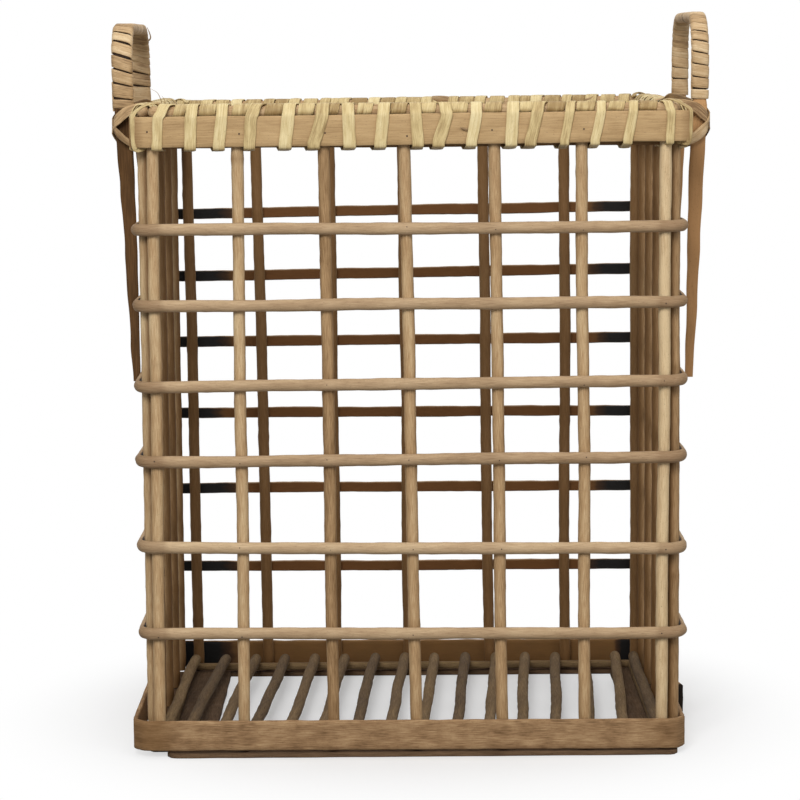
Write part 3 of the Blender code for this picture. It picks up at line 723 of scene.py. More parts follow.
@dataclass
class Hoops:
    """Split-cane hoops bent round the stakes, lapped on the right wall.

    Fields:
        plan: Ground plan.
        height, thickness: Section of a hoop.
        lap_start, lap_end: Ends of the lap on the right wall, inner end first.
        lap_step: Where the outer layer steps out, and where it has done so.
        lap_offset: How far it steps out.
        nail_radius: Radius of a nail head.
        nailed_share: Share of the crossings that have a nail.
        tones: Lightness of each hoop, from the top.
        askew: How much each hoop strays from level, in millimetres: front left, front right,
            back left, back right.
    """

    plan: Plan
    height: float = 9.4 * MM
    thickness: float = 5.6 * MM
    lap_start: float = 50 * MM
    lap_end: float = -5 * MM
    lap_step: tuple[float, float] = (72 * MM, 55 * MM)
    lap_offset: float = 6.1 * MM
    nail_radius: float = 0.65 * MM
    nailed_share: float = 0.6
    tones: tuple[float, ...] = (0.02, 0.0, 0.0, -0.08, 0.16, 0.04)
    askew: tuple = ((0.1, 0.0, -2.2, 1.4), (-0.9, 0.0, -2.4, 1.9), (-1.7, 0.6, -1.2, 0.1),
                    (-1.5, -0.4, 1.2, 0.4), (1.0, -2.8, -2.0, -2.4), (-0.8, -2.8, 0.0, -1.0))

    def level(self, number: int) -> Callable[[Vector], float]:
        """Height of a hoop's middle, read from its node, with how far the real one is askew.

        Args:
            number: Number of the hoop, from the top.

        Returns:
            A function from place to height.
        """
        points = [vertex.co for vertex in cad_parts[f"hoop_{number}"].data.vertices]
        front = [p.z for p in points if p.y < -140 * MM]
        back = [p.z for p in points if p.y > 140 * MM]
        low = (min(front) + max(front)) / 2
        high = (min(back) + max(back)) / 2
        askew = self.askew[number - 1]

        def height(place: Vector) -> float:
            """Height at a place."""
            depth = (place.y + self.plan.hoop_y) / (2 * self.plan.hoop_y)
            right = (place.x + self.plan.hoop_x) / (2 * self.plan.hoop_x)
            front = askew[0] + (askew[1] - askew[0]) * right
            back = askew[2] + (askew[3] - askew[2]) * right
            return low + (high - low) * depth + (front + (back - front) * depth) * MM

        return height

    def build(self) -> None:
        """Build the six hoops and the nails through them."""
        for number in range(1, 7):
            self.hoop(number)
        self.nails()

    def hoop(self, number: int) -> None:
        """Build one hoop.

        Args:
            number: Number of the hoop, from the top.
        """
        draw = random.Random(100 + number)
        tone = self.tones[number - 1]
        level = self.level(number)
        plan = self.plan
        seed = draw.uniform(1, 90)
        ring = plan.round_ring(plan.hoop_x, plan.hoop_y, plan.corner, self.lap_start,
                               self.lap_end)
        stations = []
        reach = [draw.uniform(28, 46) * MM for _ in range(4)]
        for place, ((point, normal, nearest), run) in enumerate(zip(ring, ring_runs(ring))):
            out = 0.0
            if point.x > plan.hoop_x - 1 * MM and place > len(ring) / 2:
                share = (self.lap_step[0] - point.y) / (self.lap_step[0] - self.lap_step[1])
                out = self.lap_offset * smooth(share)
            corner = (0 if point.x > 0 else 1) if point.y < 0 else (2 if point.x < 0 else 3)
            char = smooth(1.35 - nearest / reach[corner])
            knob = 0.10 * char * wander(seed + 5, run, 5 * MM) if nearest < 6 * MM else 0.0
            pinch = 0.05 if nearest < 1 * MM else 0.0
            girth = 1 + 0.045 * wander(seed, run, 55 * MM)
            centre = point + normal * out
            centre.z = level(point) + 0.45 * MM * wander(seed + 9, run, 80 * MM)
            end = run < 0.4 * MM or place == len(ring) - 1
            stations.append(Station(centre, normal, UP, run,
                                    (1 + knob - pinch, girth * (0.96 if end else 1)),
                                    scorch=char, char_and_painted_shade=0.75 if end else 0.0,
                                    shade=0.35 if nearest < 9 * MM else 0.0))
        piece = Workpiece(f"hoop_{number}_split_cane")
        piece.sweep(split_outline(self.height, self.thickness), stations,
                    tone, rough=0.35 * MM, inner=lambda u, v: 1.0 if u < 0.5 * MM else 0.0)
        piece.done(SPLIT_HOOP, "hoop", f"hoop_{number}")

    def nails(self) -> None:
        """Build the nail heads where the hoops cross the stakes."""
        draw = random.Random(5)
        piece = Workpiece("hoop_nails")
        for number in range(1, 7):
            level = self.level(number)
            for wall, count in (("front", 7), ("back", 7), ("left", 5), ("right", 5)):
                for stake in range(1, count + 1):
                    foot, head = node_ends(f"{wall}_stake_{stake}")
                    share = (level(foot) - foot.z) / (head.z - foot.z)
                    middle = foot.lerp(head, share)
                    slip = draw.uniform(-1.8, 1.8) * MM
                    height = draw.uniform(-2.2, 1.4) * MM
                    if draw.random() > self.nailed_share:
                        continue
                    if wall in ("front", "back"):
                        side = -1 if wall == "front" else 1
                        out = Vector((0, side, 0))
                        place = Vector((middle.x + slip, side * self.plan.hoop_y, 0))
                    else:
                        side = -1 if wall == "left" else 1
                        out = Vector((side, 0, 0))
                        place = Vector((side * self.plan.hoop_x, middle.y + slip, 0))
                    lapped = wall == "right" and -6 * MM < place.y < 55 * MM
                    if wall == "right" and 50 * MM < place.y < 76 * MM:
                        continue
                    depth = self.thickness + (self.lap_offset if lapped else 0.0)
                    curve = math.sqrt(1 - (2 * height / self.height) ** 2)
                    place += out * (depth * (0.16 + 0.84 * curve) - 0.2 * MM)
                    place.z = level(place) + height
                    piece.dome(place, out, self.nail_radius, 0.35 * MM)
        piece.done(NAILS)


@dataclass
class Foot:
    """The band round the stakes' feet, the slats on the ground, and the floor.

    Fields:
        plan: Ground plan.
        band_half: Half the size inside the band, across and in depth.
        band_shift: How far its middle lies to the left, where it is sprung clear of the stakes.
        band_radius: Radius of its corners.
        band_size: Thickness and height of the band.
        band_level: Height of its middle.
        band_tilt: How far its left front corner lies above that, and how far it sinks from left to
            right, as the photograph shows, and from front to back, which is a guess.
        band_span: Lengths over which it sinks so far.
        band_lap: Places on the right wall: inner end, start and end of the step, outer end.
        band_lap_offset: How far the outer layer steps out.
        band_flare: How much further out its loose end stands.
        rod_radius: Radius of a floor rod.
        rod_level: Height of the floor rods' middle lines.
        rod_front: Where the first floor rod lies at its front end, and the rods' pitch there.
        rod_back: The same at the back end, for the rods lie slanted.
        rod_reach: How far from the middle the outermost rods may lie.
        rod_lines: How far before the middle rod_front counts, and how far behind that rod_back.
        rod_stray: How far a rod strays from straight.
    """

    plan: Plan
    band_half: tuple[float, float] = (209.8 * MM, 152.1 * MM)
    band_shift: float = 3.4 * MM
    band_radius: float = 11.4 * MM
    band_size: tuple[float, float] = (4.0 * MM, 23.5 * MM)
    band_level: float = 17.55 * MM
    band_tilt: tuple[float, float, float] = (0.1 * MM, 1.1 * MM, 0.9 * MM)
    band_span: tuple[float, float] = (400 * MM, 300 * MM)
    band_lap: tuple[float, float, float, float] = (30 * MM, 52 * MM, 34 * MM, -33 * MM)
    band_lap_offset: float = 4.3 * MM
    band_flare: float = 5.2 * MM
    rod_radius: float = 4.6 * MM
    rod_level: float = 16.2 * MM
    rod_front: tuple[float, float] = (-200.5 * MM, 26.1 * MM)
    rod_back: tuple[float, float] = (-188.0 * MM, 26.0 * MM)
    rod_reach: float = 192.5 * MM
    rod_lines: tuple[float, float] = (105 * MM, 229 * MM)
    rod_stray: float = 1.1 * MM

    def build(self) -> None:
        """Build the band, slats, base hoop and floor rods."""
        self.band()
        for wall, seed in (("front", 3.0), ("back", 7.0)):
            self.ground_strip(f"{wall}_base_strip", ALONG_X, 8.0 * MM, seed, 0.0)
        for wall, seed in (("left", 13.0), ("right", 17.0)):
            self.ground_strip(f"{wall}_base_slat", ALONG_Y, 3.0 * MM, seed, 0.6 * MM)
        self.base_hoop()
        self.floor_rods()

    def band(self) -> None:
        """Build the wide band with its creased corners and its lap."""
        inner_end, step_start, step_end, outer_end = self.band_lap
        ring = self.plan.round_ring(*self.band_half, self.band_radius, inner_end, outer_end)
        thickness, height = self.band_size
        lift, sink_right, sink_back = self.band_tilt
        stations = []
        for number, ((point, normal, nearest), run) in enumerate(zip(ring, ring_runs(ring))):
            out = thickness / 2
            if point.x > self.band_half[0] - 1 * MM and number > len(ring) / 2:
                stepped = (step_start - point.y) / (step_start - step_end)
                beyond = max(0.0, (step_end - point.y) / (step_end - outer_end))
                out += self.band_lap_offset * smooth(stepped)
                out += self.band_flare * beyond ** 2
            corner = smooth(1.2 - nearest / (22 * MM))
            crease = 0.35 * MM * math.sin(run / (1.3 * MM)) * corner if nearest < 6 * MM else 0.0
            back_char = 0.0
            if point.y > 0:
                reach = 46 * MM if point.x < 0 else 16 * MM
                back_char = smooth(1.4 - nearest / reach)
            # the loose end is blackened: its cut end, and painted shade on its outer side
            end = number == len(ring) - 1
            centre = point + normal * (out + crease) - ALONG_X * self.band_shift
            centre.z = self.band_level + lift - sink_right * (point.x / self.band_span[0] + 0.5)
            centre.z -= sink_back * (point.y / self.band_span[1] + 0.5)
            # darker near the corners, most at the front left corner
            corner_darkening = 0.65 if point.x < 0 and point.y < 0 else 0.30
            stations.append(Station(centre, UP, -normal, run, (1.0, 1.0), scorch=back_char,
                                    shade=corner_darkening * corner, char_and_painted_shade=0.7 if end else 0.0))
        piece = Workpiece("base_band_cane")
        piece.sweep(slat_outline(height - 0.3 * MM, thickness - 0.4 * MM, 0.9 * MM, 8), stations,
                    0.0, rough=0.5 * MM, rough_length=14 * MM,
                    inner=lambda u, v: 1.0 if v > 1 * MM else 0.0)
        piece.done(FOOT_BAND, "base_band", "base_band")

    def ground_strip(self, node: str, along: Vector, end_radius: float, seed: float,
                     ridge: float) -> None:
        """Build one slat that lies on the ground, in its node's box.

        Args:
            node: Name of the node.
            along: Direction that it runs in.
            end_radius: How round its ends are.
            seed: Choice of its unevenness.
            ridge: Height of the ridges across it.
        """
        low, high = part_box(node)
        across = ALONG_Y if along == ALONG_X else ALONG_X
        size = high - low
        length, width = size.dot(along), size.dot(across)
        middle = (low + high) / 2
        stations = []
        for run in spaced(0, length, 3 * MM):
            ease = min(run, length - run)
            narrow = 1.0
            if ease < end_radius:
                cut = end_radius - math.sqrt(max(end_radius ** 2 - (end_radius - ease) ** 2, 0))
                narrow = 1 - 2 * cut / width * 0.96
            wave = 1 + 0.02 * wander(seed, run, 40 * MM)
            centre = middle + along * (run - length / 2)
            bump = ridge * max(0.0, wander(seed + 4, run, 6 * MM)) if ease > 8 * MM else 0.0
            thick = (0.62 if along == ALONG_X else 0.94) - bump / (6 * MM)
            centre.z = low.z + size.z * thick / 2
            stations.append(Station(centre, across, UP, run, (narrow * wave * 0.975, thick)))
        piece = Workpiece(f"{node}_cane")
        piece.sweep(slat_outline(width, size.z, 1.0 * MM, 6), stations,
                    0.12 if along == ALONG_X else -0.05, rough=0.5 * MM, rough_length=20 * MM)
        piece.done(GROUND_SLAT, "base_slat", node)

    def base_hoop(self) -> None:
        """Build the flat hoop that carries the floor rods."""
        low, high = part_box("base_hoop")
        width = 8 * MM
        ring = self.plan.round_ring(high.x, high.y, 10 * MM, 0.0, 0.1 * MM)[:-1]
        stations = []
        for (point, normal, _), run in zip(ring, ring_runs(ring)):
            centre = point - normal * width / 2
            centre.z = (low.z + high.z) / 2
            stations.append(Station(centre, normal, UP, run, (0.98, 0.97)))
        piece = Workpiece("base_hoop_cane")
        piece.sweep(slat_outline(width, high.z - low.z, 1.0 * MM, 2), stations, 0.25, closed=True,
                    rough=0.2 * MM)
        piece.done(FLOOR_CORE, "base_hoop", "base_hoop")

    def floor_rods(self) -> None:
        """Build the floor rods, each a little kinked, with rounded tips."""
        draw = random.Random(23)
        before, between = self.rod_lines
        for number in range(1, 17):
            node = f"floor_rod_{number}"
            low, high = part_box(node)
            seed = draw.uniform(1, 90)
            front, back = (
                max(-self.rod_reach, min(self.rod_reach, first + pitch * (number - 1)))
                for first, pitch in (self.rod_front, self.rod_back))
            stations = []
            length = high.y - low.y
            for run in spaced(0, length, 2.5 * MM):
                ease = min(run, length - run)
                tip = math.sqrt(max(1 - (1 - min(ease / (3.2 * MM), 1)) ** 2, 0.03))
                girth = tip * (0.97 + 0.04 * wander(seed + 2, run, 30 * MM))
                place = front + (back - front) * ((low.y + run) + before) / between
                centre = Vector((place + self.rod_stray * wander(seed, run, 80 * MM),
                                 low.y + run,
                                 self.rod_level + 0.5 * MM * wander(seed + 6, run, 40 * MM)))
                stations.append(Station(centre, ALONG_X, UP, run, (girth, girth),
                                        shade=0.4 * (1 - tip)))
            piece = Workpiece(f"{node}_cane")
            piece.sweep(round_outline(self.rod_radius, 12), stations, draw.uniform(-0.25, 0.25),
                        rough=0.3 * MM, rough_length=12 * MM)
            piece.done(FLOOR_CORE, "floor_rod", node)


@dataclass(frozen=True)
class Lace:
    """One turn of the lacing: its places along the wall and its width.

    Fields:
        low: Place of its middle at the foot of the outer slat.
        high: Place at the top of the outer slat.
        crown: Place on top of the rod.
        width: Width of the strip.
    """

    low: float
    high: float
    crown: float
    width: float


@dataclass(frozen=True)
class Strip:
    """Section of a cane strip and how uneven it is.

    Fields:
        thickness: Thickness of the strip.
        edge: How far its edges are eased.
        faces: Steps across it.
        crown: How far its middle stands proud.
        stray: Share by which its width varies.
        bend: Length of those variations.
        rough: Depth of its unevenness.
        rough_length: Length of that unevenness.
    """

    thickness: float
    edge: float
    faces: int
    crown: float
    stray: float
    bend: float
    rough: float
    rough_length: float


LONG_TURN = Strip(0.95 * MM, 0.3 * MM, 6, 0.25 * MM, 0.05, 14 * MM, 0.16 * MM, 12 * MM)
SHORT_TURN = Strip(0.8 * MM, 0.25 * MM, 5, 0.2 * MM, 0.06, 9 * MM, 0.12 * MM, 9 * MM)


@dataclass
class Rim:
    """The clamped slats and rods of the rim, and the cane laced round them.

    Fields:
        plan: Ground plan.
        slat_bottom, slat_top: Heights of the slats' edges.
        slat_thickness: Thickness of a slat.
        rod_radius: Radius of the rim rod.
        rod_level: Height of its middle line.
        front_lift, back_lift: How far the front slat and the back rim lie off level at their
            middle, and how much more with each metre to the right.
        front_laces: The front wall's turns as the photograph shows them, in millimetres.
        corners: Places of the strips over the ends of the front and back walls.
        nails: Places and heights of the nails in the front slat.
    """

    plan: Plan
    slat_bottom: float = 468.2 * MM
    slat_top: float = 492.1 * MM
    slat_thickness: float = 4.5 * MM
    rod_radius: float = 5.0 * MM
    rod_level: float = 496.0 * MM
    front_lift: tuple[float, float] = (1.9 * MM, 0.005)
    back_lift: tuple[float, float] = (-1.3 * MM, 0.0065)
    front_laces: tuple = (
        (-190.5, -189.4, -180.0, 8.3), (-165.4, -164.6, -162.3, 9.2), (-143.8, -141.5, -140.0, 9.2),
        (-120.7, -119.2, -112.2, 9.2), (-93.8, -91.4, -89.1, 10.0), (-72.2, -66.0, -64.5, 9.8),
        (-45.2, -46.0, -46.8, 9.8), (-22.1, -19.8, -18.3, 9.5), (6.4, 4.9, 4.1, 9.0),
        (21.8, 28.0, 25.7, 9.5), (46.5, 50.3, 50.3, 9.0), (76.5, 77.7, 78.8, 10.0),
        (91.1, 95.8, 99.6, 9.6), (116.6, 120.4, 122.7, 7.8), (139.7, 144.0, 145.1, 8.0),
        (164.3, 168.2, 169.7, 8.0), (196.0, 197.0, 192.1, 7.4))
    corners: tuple[float, float] = (-207.8 * MM, 211.8 * MM)
    nails: tuple = ((-196.7, 481.6), (-127.6, 479.6), (-63.0, 479.8), (-1.5, 477.1),
                    (62.4, 481.1), (131.4, 481.3))

    def build(self) -> None:
        """Build slats, rods and lacing."""
        self.outer_slats()
        self.inner_slats()
        self.rods()
        self.lacing()
        self.nail_heads()

    def sway(self, place: Vector) -> Vector:
        """Shift a place by how much the real rim strays from level.

        Args:
            place: Place on a level rim.

        Returns:
            The place on the rim as it is: the front slat rises to the right, the back droops left.
        """
        lift = 0.0
        if place.y < -150 * MM:
            level, rise = self.front_lift
            lift = (level + place.x * rise) * smooth((499 * MM - place.z) / (8 * MM))
        elif place.y > 120 * MM:
            level, rise = self.back_lift
            lift = level + place.x * rise
        return place + UP * lift

    def slat(self, piece: Workpiece, start: Vector, end: Vector, outward: Vector, tone: float,
             seed: float) -> None:
        """Add one straight slat.

        Args:
            piece: Workpiece to add to.
            start: Middle of its foot at one end, on its outer face.
            end: The same at the other end.
            outward: Direction that its outer face looks in.
            tone: Lightness of its wood.
            seed: Choice of its unevenness.
        """
        height = self.slat_top - self.slat_bottom
        middle = (self.slat_top + self.slat_bottom) / 2
        length = (end - start).length
        stations = []
        for run in spaced(0, length, 7 * MM):
            centre = start.lerp(end, run / length) - outward * (self.slat_thickness / 2)
            centre.z = middle + 0.35 * MM * wander(seed, run, 90 * MM)
            centre = self.sway(centre)
            girth = 0.975 + 0.014 * wander(seed + 2, run, 50 * MM)
            end_cut = min(run, length - run) < 1 * MM
            stations.append(Station(centre, UP, -outward, run, (girth, 0.97),
                                    shade=0.5 if end_cut else 0.0))
        # painted shade: the face against the stakes is darkened
        piece.sweep(slat_outline(height, self.slat_thickness, 0.8 * MM, 6), stations, tone,
                    rough=0.25 * MM, rough_length=16 * MM,
                    inner=lambda u, v: 0.8 if v > 1 * MM else 0.0)

    def outer_slats(self) -> None:
        """Build the four slats outside the stakes; the front one has square-cut ends."""
        x, y = self.plan.hoop_x, self.plan.hoop_y
        t = self.slat_thickness
        piece = Workpiece("rim_outer_slats")
        self.slat(piece, Vector((-206.0 * MM, -y - t, 0)), Vector((210.5 * MM, -y - t, 0)),
                  -ALONG_Y, 0.0, 3.0)
        self.slat(piece, Vector((x + t, 0.3 * MM - y, 0)), Vector((x + t, y - 0.3 * MM, 0)),
                  ALONG_X, -0.1, 8.0)
        self.slat(piece, Vector((207 * MM, y + t, 0)), Vector((-207 * MM, y + t, 0)),
                  ALONG_Y, 0.05, 12.0)
        self.slat(piece, Vector((-x - t, y - 0.3 * MM, 0)), Vector((-x - t, 0.3 * MM - y, 0)),
                  -ALONG_X, -0.2, 19.0)
        piece.done(RIM_SLAT, "rim_slat", "rim_outer_slat")

    def inner_slats(self) -> None:
        """Build the four slats inside the stakes."""
        x, y, t = 196.2 * MM, 142.1 * MM, self.slat_thickness
        piece = Workpiece("rim_inner_slats")
        for start, end, out, seed in (
                (Vector((-x, t - y, 0)), Vector((x, t - y, 0)), ALONG_Y, 5.0),
                (Vector((x, y - t, 0)), Vector((-x, y - t, 0)), -ALONG_Y, 9.0)):
            self.slat(piece, start, end, out, -0.05, seed)
        reach = y - t - 0.3 * MM
        for side, seed in ((1, 14.0), (-1, 21.0)):
            inner = side * (x - t)
            self.slat(piece, Vector((inner, -reach, 0)), Vector((inner, reach, 0)),
                      Vector((-side, 0, 0)), -0.1, seed)
        piece.done(RIM_SLAT, "rim_slat", "rim_inner_slat")

    def rods(self) -> None:
        """Build the four rods on the stake heads, with domed ends."""
        x, y = self.plan.row_x, self.plan.row_y
        reach = y - 2 * self.rod_radius + 1.5 * MM
        piece = Workpiece("rim_rods")
        for start, end, seed in (
                (Vector((-196.5 * MM, -y, 0)), Vector((203.5 * MM, -y, 0)), 2.0),
                (Vector((-201.0 * MM, y, 0)), Vector((201.0 * MM, y, 0)), 6.0),
                (Vector((-x, -reach, 0)), Vector((-x, reach, 0)), 10.0),
                (Vector((x, -reach, 0)), Vector((x, reach, 0)), 15.0)):
            along = (end - start).normalized()
            across = UP.cross(along)
            length = (end - start).length
            stations = []
            for run in [0, 0.8 * MM, 2 * MM, *spaced(4 * MM, length - 4 * MM, 7 * MM),
                        length - 2 * MM, length - 0.8 * MM, length]:
                ease = min(run, length - run)
                tip = math.sqrt(max(1 - (1 - min(ease / (4 * MM), 1)) ** 2, 0.08))
                centre = start + along * run
                centre.z = self.rod_level
                centre = self.sway(centre)
                girth = tip * (0.96 + 0.03 * wander(seed, run, 60 * MM))
                stations.append(Station(centre, across, UP, run, (girth, girth)))
            piece.sweep(round_outline(self.rod_radius, 14), stations, 0.1, rough=0.3 * MM)
        piece.done(STAKE_CORE, "rim_rod", "rim_rod")

    def walls(self) -> list[tuple[str, Vector, Vector, Vector, list[Lace]]]:
        """Each wall's name, directions along and outward, middle, and turns of lacing."""
        draw = random.Random(41)
        front = []
        for low, high, crown, width in self.front_laces:
            creep = 0.5 - low / 380
            front.append(Lace((low + creep) * MM, (high + creep) * MM, (crown + creep) * MM,
                              (width - 0.4 - max(low, 0) / 250) * MM))
        made = [("front", ALONG_X, -ALONG_Y, Vector((0, -self.plan.row_y, 0)), front)]
        for wall, along, outward, middle, half in (
                ("right", ALONG_Y, ALONG_X, Vector((self.plan.row_x, 0, 0)), 128.0 * MM),
                ("back", -ALONG_X, ALONG_Y, Vector((0, self.plan.row_y, 0)), 186.0 * MM),
                ("left", -ALONG_Y, -ALONG_X, Vector((-self.plan.row_x, 0, 0)), 128.0 * MM)):
            count = 17 if wall == "back" else 12
            turns = []
            for number in range(count):
                low = half * (2 * number / (count - 1) - 1) + draw.uniform(-2.5, 2.5) * MM
                high = low + draw.uniform(0, 4) * MM
                crown = high + draw.uniform(0, 5) * MM
                turns.append(Lace(low, high, crown, draw.uniform(8.0, 9.8) * MM))
            made.append((wall, along, outward, middle, turns))
        return made

    def lacing(self) -> None:
        """Build one laced strip for each wall, and the short turns round the rod alone."""
        for number, (wall, along, outward, middle, turns) in enumerate(self.walls()):
            draw = random.Random(60 + number)
            piece = Workpiece(f"rim_lacing_{wall}")
            self.laced_strip(piece, along, outward, middle, turns, draw)
            self.rod_turns(piece, along, outward, middle, turns, draw)
            nodes = ("rim_lacing",) if wall == "front" else ()
            piece.done(LACING_CANE, "lacing", *nodes)
        for wall, outward in (("front", -ALONG_Y), ("back", ALONG_Y)):
            self.corner_turn(wall, outward)

    def laced_strip(self, piece: Workpiece, along: Vector, outward: Vector, middle: Vector,
                    turns: Sequence[Lace], draw: random.Random) -> None:
        """Wind the strip over slats and rod, turn by turn.

        Args:
            piece: Workpiece to add to.
            along: Direction along the wall.
            outward: Direction away from the basket.
            middle: Point on the wall's middle line.
            turns: The turns of this wall.
            draw: Source of small differences.
        """
        half = LONG_TURN.thickness / 2
        out = 9.5 * MM + half + 0.3 * MM
        low, top = self.slat_bottom - half - 0.4 * MM, self.slat_top
        crown_level = self.rod_level + self.rod_radius + half + 0.5 * MM
        for number, turn in enumerate(turns):
            after = turns[min(number + 1, len(turns) - 1)]
            drop = after.low if after is not turn else turn.low + 12 * MM
            inner_low = (turn.crown + drop) / 2
            curl = draw.uniform(0.3, 1.3) * MM
            flat = [(inner_low - (drop - turn.crown) * 1.1 if number == 0 else turn.low - 1 * MM,
                     -2.0 * MM, low - 0.1 * MM),
                    (turn.low - 0.3 * MM, 6.0 * MM, low - curl * 0.8),
                    (turn.low, out + 0.1 * MM, low + 0.2 * MM - curl * 0.3),
                    (turn.low, out + 0.5 * MM, low + 3.2 * MM),
                    ((turn.low + turn.high) / 2, out + 0.1 * MM, (low + top) / 2),
                    (turn.high, out + 0.1 * MM, top - 1.5 * MM),
                    (turn.high * 0.8 + turn.crown * 0.2, out - 0.8 * MM, top + 1.8 * MM),
                    ((turn.high + turn.crown) / 2, 5.6 * MM, self.rod_level + 4.9 * MM),
                    (turn.crown, 0.0, crown_level - 0.4 * MM),
                    (turn.crown + 1 * MM, -5.4 * MM, self.rod_level + 4.4 * MM),
                    (turn.crown + 2 * MM, -out + 0.8 * MM, top + 1.0 * MM),
                    (turn.crown + 3 * MM, -out - 0.1 * MM, top - 3 * MM),
                    (inner_low, -out - 0.1 * MM, (low + top) / 2),
                    (drop - 3 * MM, -out, low + 2 * MM),
                    (drop - 2 * MM, -out + 1.5 * MM, low - 0.5 * MM),
                    (drop - 1 * MM, -2.0 * MM, low - 0.2 * MM)]
            points = [self.sway(middle + along * s + outward * t + UP * z) for s, t, z in flat]
            places = flowing(points, 1.6 * MM)
            tone = draw.uniform(-0.25, 0.30)
            self.ribbon(piece, LONG_TURN, places, along, turn.width, tone, draw)

    def ribbon(self, piece: Workpiece, strip: Strip, places: Sequence[Vector], along: Vector,
               width: float, tone: float, draw: random.Random) -> None:
        """Add a strip whose width stays in the wall's direction, darkened with painted shade where
        it passes under the slats.

        Args:
            piece: Workpiece to add to.
            strip: Section of the strip.
            places: Middle line of the strip.
            along: Direction along the wall.
            width: Width of the strip.
            tone: Lightness of the strip.
            draw: Source of small differences.
        """
        seed = draw.uniform(1, 90)
        stations = []
        for place, travel, run in zip(places, tangents(places), runs(places)):
            over = travel.cross(along).normalized()
            across = over.cross(travel).normalized()
            girth = 1 + strip.stray * wander(seed, run, strip.bend)
            # painted shade: the strip darkens where it passes under the slats' lower edge
            low = smooth((471 * MM - place.z) / (5 * MM))
            stations.append(Station(place, across, -over, run, (girth, 1.0), shade=0.55 * low))
        piece.sweep(slat_outline(width, strip.thickness, strip.edge, strip.faces, strip.crown),
                    stations, tone, rough=strip.rough, rough_length=strip.rough_length)

    def rod_turns(self, piece: Workpiece, along: Vector, outward: Vector, middle: Vector,
                  turns: Sequence[Lace], draw: random.Random) -> None:
        """Wind short turns round the rod between the long ones.

        Args:
            piece: Workpiece to add to.
            along: Direction along the wall.
            outward: Direction away from the basket.
            middle: Point on the wall's middle line.
            turns: The turns of this wall.
            draw: Source of small differences.
        """
        radius = self.rod_radius + 0.55 * MM
        for turn, after in zip(turns, turns[1:]):
            bay = after.crown - turn.crown - (turn.width + after.width) / 2
            if bay < 5 * MM:
                continue
            width = min(bay * 0.95, draw.uniform(11.0, 14.0) * MM)
            centre = (turn.crown + after.crown) / 2 + (turn.width - after.width) / 4
            pitch = draw.uniform(5, 9) * MM
            points = []
            for step in range(30):
                angle = math.radians(-205 + 410 * step / 29)
                drift = pitch * (step / 29 - 0.5)
                lift = radius + draw.uniform(0, 0.12) * MM
                points.append(self.sway(middle + along * (centre + drift)
                                        + outward * (lift * math.sin(-angle))
                                        + UP * (self.rod_level + lift * math.cos(angle))))
            tone = draw.uniform(-0.50, 0.0)
            self.ribbon(piece, SHORT_TURN, points, along, width, tone, draw)

    def corner_turn(self, wall: str, outward: Vector) -> None:
        """Lay a narrow strip round each end of a wall, over its corner.

        Args:
            wall: Name of the wall.
            outward: Direction away from the basket.
        """
        draw = random.Random(len(wall) * 7)
        piece = Workpiece(f"rim_corner_turn_{wall}")
        middle = outward * self.plan.row_y
        for side, end in zip((-1, 1), self.corners):
            flat = [(10, -4, 470), (6, 4, 467.8), (2.4, 8.0, 467.4), (1.0, 8.4, 470.5),
                    (0.3, 7.8, 480), (0, 7.0, 489), (0.6, 6.2, 493.5), (4.0, 5.4, 498.0),
                    (10, 3.6, 501.6), (16, -1.5, 502.9), (20, -8, 500.0)]
            points = [self.sway(middle + ALONG_X * (end - side * s * MM) + outward * t * MM
                                + UP * z * MM) for s, t, z in flat]
            places = flowing(points, 1.4 * MM)
            seed = draw.uniform(1, 90)
            stations = []
            facing = (outward + ALONG_X * side * 0.4).normalized()
            for place, travel, run in zip(places, tangents(places), runs(places)):
                over = facing + UP * smooth((place.z - 490 * MM) / (10 * MM)) * 2.2
                across = travel.cross(over).normalized()
                over = across.cross(travel).normalized()
                girth = 1 + 0.07 * wander(seed, run, 9 * MM)
                stations.append(Station(place, across, over, run, (girth, 1.0)))
            piece.sweep(slat_outline(4.0 * MM, 0.9 * MM, 0.3 * MM, 4, 0.2 * MM), stations,
                        -0.05 if side < 0 else -0.35, rough=0.12 * MM)
        piece.done(LACING_CANE, "lacing")

    def nail_heads(self) -> None:
        """Set the small nails into the front slat."""
        piece = Workpiece("rim_nails")
        face = -self.plan.hoop_y - self.slat_thickness
        for x, z in self.nails:
            piece.dome(Vector((x * MM, face, z * MM)), -ALONG_Y, 0.8 * MM, 0.4 * MM)
        piece.done(NAILS)


